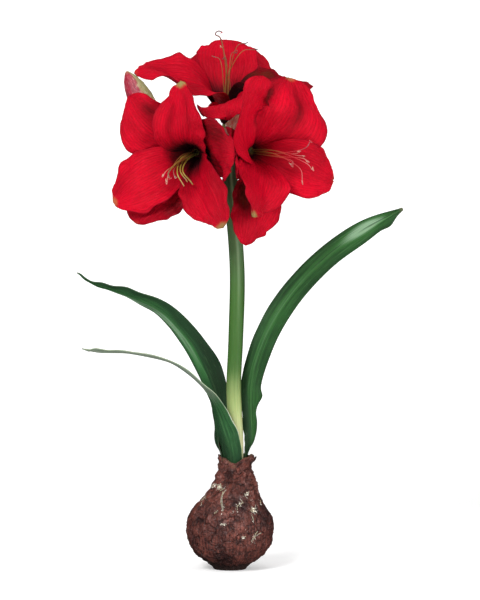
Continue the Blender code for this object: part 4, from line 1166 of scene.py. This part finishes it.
def shredShell(rings, shred, number, pale):          # a fibre that follows the bulb and curls off at its end
    turnAt, height, long, wide, tilt, curl = shred
    count = 16
    share = np.linspace(0, 1, count)
    wander = 0.05 * long * ripple(share[:, None] * 4, 3, 771 + number, 6)
    outer = rings[len(rings) // 8:]
    reach = np.linalg.norm(outer[np.abs(outer[:, 0, 2] - height).argmin(), 0, :2])
    swing = np.degrees((share - 0.5) * long * math.sin(math.radians(tilt)) / reach)
    column = np.round(np.mod(turnAt + swing, 360)).astype(int) * rings.shape[1] // 360 % rings.shape[1]
    up = height + (share - 0.5) * long * math.cos(math.radians(tilt))
    row = np.abs(outer[:, column, 2] - up).argmin(0)
    line = outer[row, column].copy()
    line[:, 2] = up
    for _ in range(3):
        line[1:-1] = (line[:-2] + 2 * line[1:-1] + line[2:]) / 4
    out = unit(np.stack([np.cos(np.radians(turnAt)), np.sin(np.radians(turnAt)), 0.15]))
    beside = unit(np.cross([0, 0, 1], out))
    line = line + out * (0.5 + curl * share[:, None] ** 3) + beside * wander[:, None]
    across = np.cos(np.radians(tilt)) * beside - np.sin(np.radians(tilt)) * np.array([0, 0, 1])
    half = wide / 2 * np.sqrt(np.clip(4 * share * (1 - share), 0.05, 1))
    grid = arcPoints(line, np.broadcast_to(across, line.shape), np.broadcast_to(out, line.shape), half,
                     np.radians(25 + 25 * share), 7)
    return sheetShell(grid, 0.22, 0.5, height / bulbTop, (pale, 0, 0))


def makeBulb():
    form = bulbForm
    profile, onSkin, inside = bulbRings()
    turn = np.linspace(0, fullTurn, form["sides"], endpoint=False)
    z, radius = (np.broadcast_to(profile[:, k:k + 1], (len(profile), form["sides"])) for k in (0, 1))
    degrees = np.degrees(np.where(turn > math.pi, turn - fullTurn, turn))
    smooth = radius
    outside = eased((radius - 0.5 * form["pocketRadius"]) / 4) * eased((z - 0.5) / 6)
    front = hump(degrees, -92, 38)
    flared = hump(degrees, form["flapTurn"], 16)
    ribs = form["ribs"][0] * np.sin(7 * turn + 1) + form["ribs"][1] * np.sin(12 * turn + 2.5)
    radius = radius + outside * eased((104 - z) / 12) * ribs
    radius = radius + flared * form["flapOut"] * eased((z - 100) / 13) * (radius > form["pocketRadius"] + 0.2)
    circle = np.stack([np.cos(turn), np.sin(turn)], -1)
    edgeLine = smoothAlong((degrees + 180) / 360, form["lowerEdge"])
    edgeLine = edgeLine + 1.3 * ripple(circle, 0.30, 741) + 0.7 * ripple(circle, 0.11, 742)
    below = onSkin[:, None] * eased((edgeLine - z) / 0.9)   # 1 on the bare plate under the skin's edge
    skin = onSkin[:, None] * (1 - below)
    ball = np.stack([np.cos(turn) * smooth, np.sin(turn) * smooth, z], -1)
    for number, (size, height) in enumerate(form["wrinkles"]):
        wrinkle = skin * height * ripple(ball * (1, 1, 0.8), size, 701 + number, 28)
        radius = radius + wrinkle * (0.6 + 0.4 * eased((z - 60) / 30))
    radius = radius + skin * 0.16 * np.cos(turn * 72 + 3 * ripple(ball, 40, 711)) * eased((80 - z) / 20)
    for number, (height, depth, wander) in enumerate(form["layers"]):
        line = height + wander * ripple(circle, 1.3, 721 + number) + 1.6 * ripple(circle, 0.22, 731 + number)
        radius = radius + skin * depth * (eased((line - z) / 1.1) - 0.5) * hump(z, line - 2, 12)
    low = onSkin[:, None] * eased((z - 1.5) / 3)
    radius = radius - form["lap"] * below * hump(z, edgeLine - 1, 2.6)
    radius = radius + low * 0.7 * hump(z, edgeLine + 1.2, 2.0)
    z = z - eased((z - 98) / 16) * (form["rimDip"] * front + form["rimWave"] * np.sin(3 * turn) ** 2)
    onRim = (radius > form["pocketRadius"] + 0.1) * eased((z - 104) / 8)
    z = z - onRim * 0.8 * (1 + ripple(ball[:, :, :2], 4, 751))
    radius = radius + below * low * (0.7 * ripple(ball, 7, 761) + 0.35 * ripple(ball, 3, 762))
    x = radius * np.cos(turn) + form["footShift"] + form["neckLean"] * eased((z - 56) / 36)
    rings = np.stack([x, radius * np.sin(turn), z], -1)[::-1]
    # pale scuffs, and the painted shade on the skin
    masks = {}
    for key in ("scuffs", "paintedShades"):
        masks[key] = np.zeros(z.shape)
        for middle, height, wide, tall, strength in form[key]:
            apart = (np.mod(degrees - middle + 180, 360) - 180) * np.radians(1) * smooth
            mask = strength * hump(apart, 0, wide * 1.2) * hump(z, height, tall * 1.2)
            masks[key] = np.maximum(masks[key], mask * onSkin[:, None])
    shells = [shredShell(rings[::-1], shred, number, 2.0) for number, shred in enumerate(form["shreds"])]
    shells += [shredShell(rings[::-1], flap, 90 + number, 0.0) for number, flap in enumerate(form["flaps"])]
    inner = (np.arange(len(profile)) <= inside)[:, None] * 1.0
    bare = np.maximum(below, (profile[:, :1] < 0.5) * 1.0)
    place = together(foldedTurn(turn), z / bulbTop, bare)[::-1]
    tone = together(masks["scuffs"], inner, masks["paintedShades"])[::-1]
    makePiece("bulbSkin", [tubeShell(rings, place, tone), *shells], bulbMaterial(), "bulb_skin", "bulb")


makeBulb()
print("bulb done")


# plain pale sweep, soft lights and the camera

stageForm = {"halfWidth": 7.0, "near": -5.0, "bend": 3.6, "radius": 1.2, "height": 6.0,
             "colour": (0.86, 0.86, 0.86), "glow": 0.75, "nearGlow": 0.45, "brighter": (0.8, 3.6)}


def makeStage():                                     # floor, a quarter turn, then a wall
    form = stageForm
    quarter = np.linspace(0, math.pi / 2, 24)
    bend, radius = form["bend"], form["radius"]
    y = np.concatenate([[form["near"]], bend + radius * np.sin(quarter), [bend + radius]])
    z = np.concatenate([[0], radius * (1 - np.cos(quarter)), [form["height"]]])
    grid = np.stack([together(side * form["halfWidth"], y, z) for side in (-1, 1)], 1)
    mesh = bpy.data.meshes.new("sweep")
    mesh.from_pydata(grid.reshape(-1, 3).tolist(), [], gridQuads(len(y), 2).tolist())
    mesh.shade_smooth()
    paint = Paint("sweepWhite", Roughness=0.9, Specular_IOR_Level=0.0, Emission_Strength=form["glow"])
    away = paint.node("ShaderNodeSeparateXYZ", {}, {"Vector": paint.spot()}, out="Y")
    dimmed = tuple(form["nearGlow"] * part for part in form["colour"])
    glow = paint.mix(away.step(*form["brighter"]), dimmed, form["colour"])
    paint.feed(paint.shader.inputs["Emission Color"], glow)
    paint.feed(paint.shader.inputs["Base Color"], form["colour"])
    mesh.materials.append(paint.material)
    floor = bpy.data.objects.new("sweep", mesh)
    floor.visible_glossy = False                     # only the lamps show as gloss, as in a dark studio
    bpy.context.scene.collection.objects.link(floor)


lightForms = {                                       # place, aim, size in metres and power in watts
    "key": ((-0.9, -1.8, 1.5), (0, 0, 0.30), 0.8, 49),
    "fill": ((1.7, -1.5, 0.7), (0, 0, 0.28), 1.2, 24),
    "crown": ((0.2, -0.5, 2.2), (0, 0, 0.40), 0.9, 8),
}


def makeLights():
    world = bpy.data.worlds.new("studio")
    world.use_nodes = True
    sky = world.node_tree.nodes["Background"]
    sky.inputs["Color"].default_value = (1, 1, 1, 1)
    sky.inputs["Strength"].default_value = 0.40
    world.cycles_visibility.glossy = False
    bpy.context.scene.world = world
    for name, (place, aim, size, power) in lightForms.items():
        light = bpy.data.lights.new(name, "AREA")
        light.size = size
        light.energy = power
        lamp = bpy.data.objects.new(name, light)
        lamp.location = place
        way = bpy.data.objects.new(name + "Aim", None)
        way.location = aim
        for made in (lamp, way):
            bpy.context.scene.collection.objects.link(made)
        track = lamp.constraints.new("TRACK_TO")
        track.target = way
        track.track_axis, track.up_axis = "TRACK_NEGATIVE_Z", "UP_Y"


cameraForm = {"place": (0.009, -2.0, 0.2685), "distance": 2.0, "frameHeight": 0.600, "sensor": 36}


def makeCamera():                                    # level along +Y, 1 mm a pixel at the plant's middle
    form = cameraForm
    data = bpy.data.cameras.new("camera")
    data.sensor_width = form["sensor"]
    data.lens = form["sensor"] * form["distance"] / form["frameHeight"]
    camera = bpy.data.objects.new("camera", data)
    camera.location = form["place"]
    camera.rotation_euler = (math.pi / 2, 0, 0)
    bpy.context.scene.collection.objects.link(camera)
    bpy.context.scene.camera = camera
    bpy.context.scene.view_settings.view_transform = "Standard"


makeStage()
makeLights()
makeCamera()
print("stage, lights and camera done")
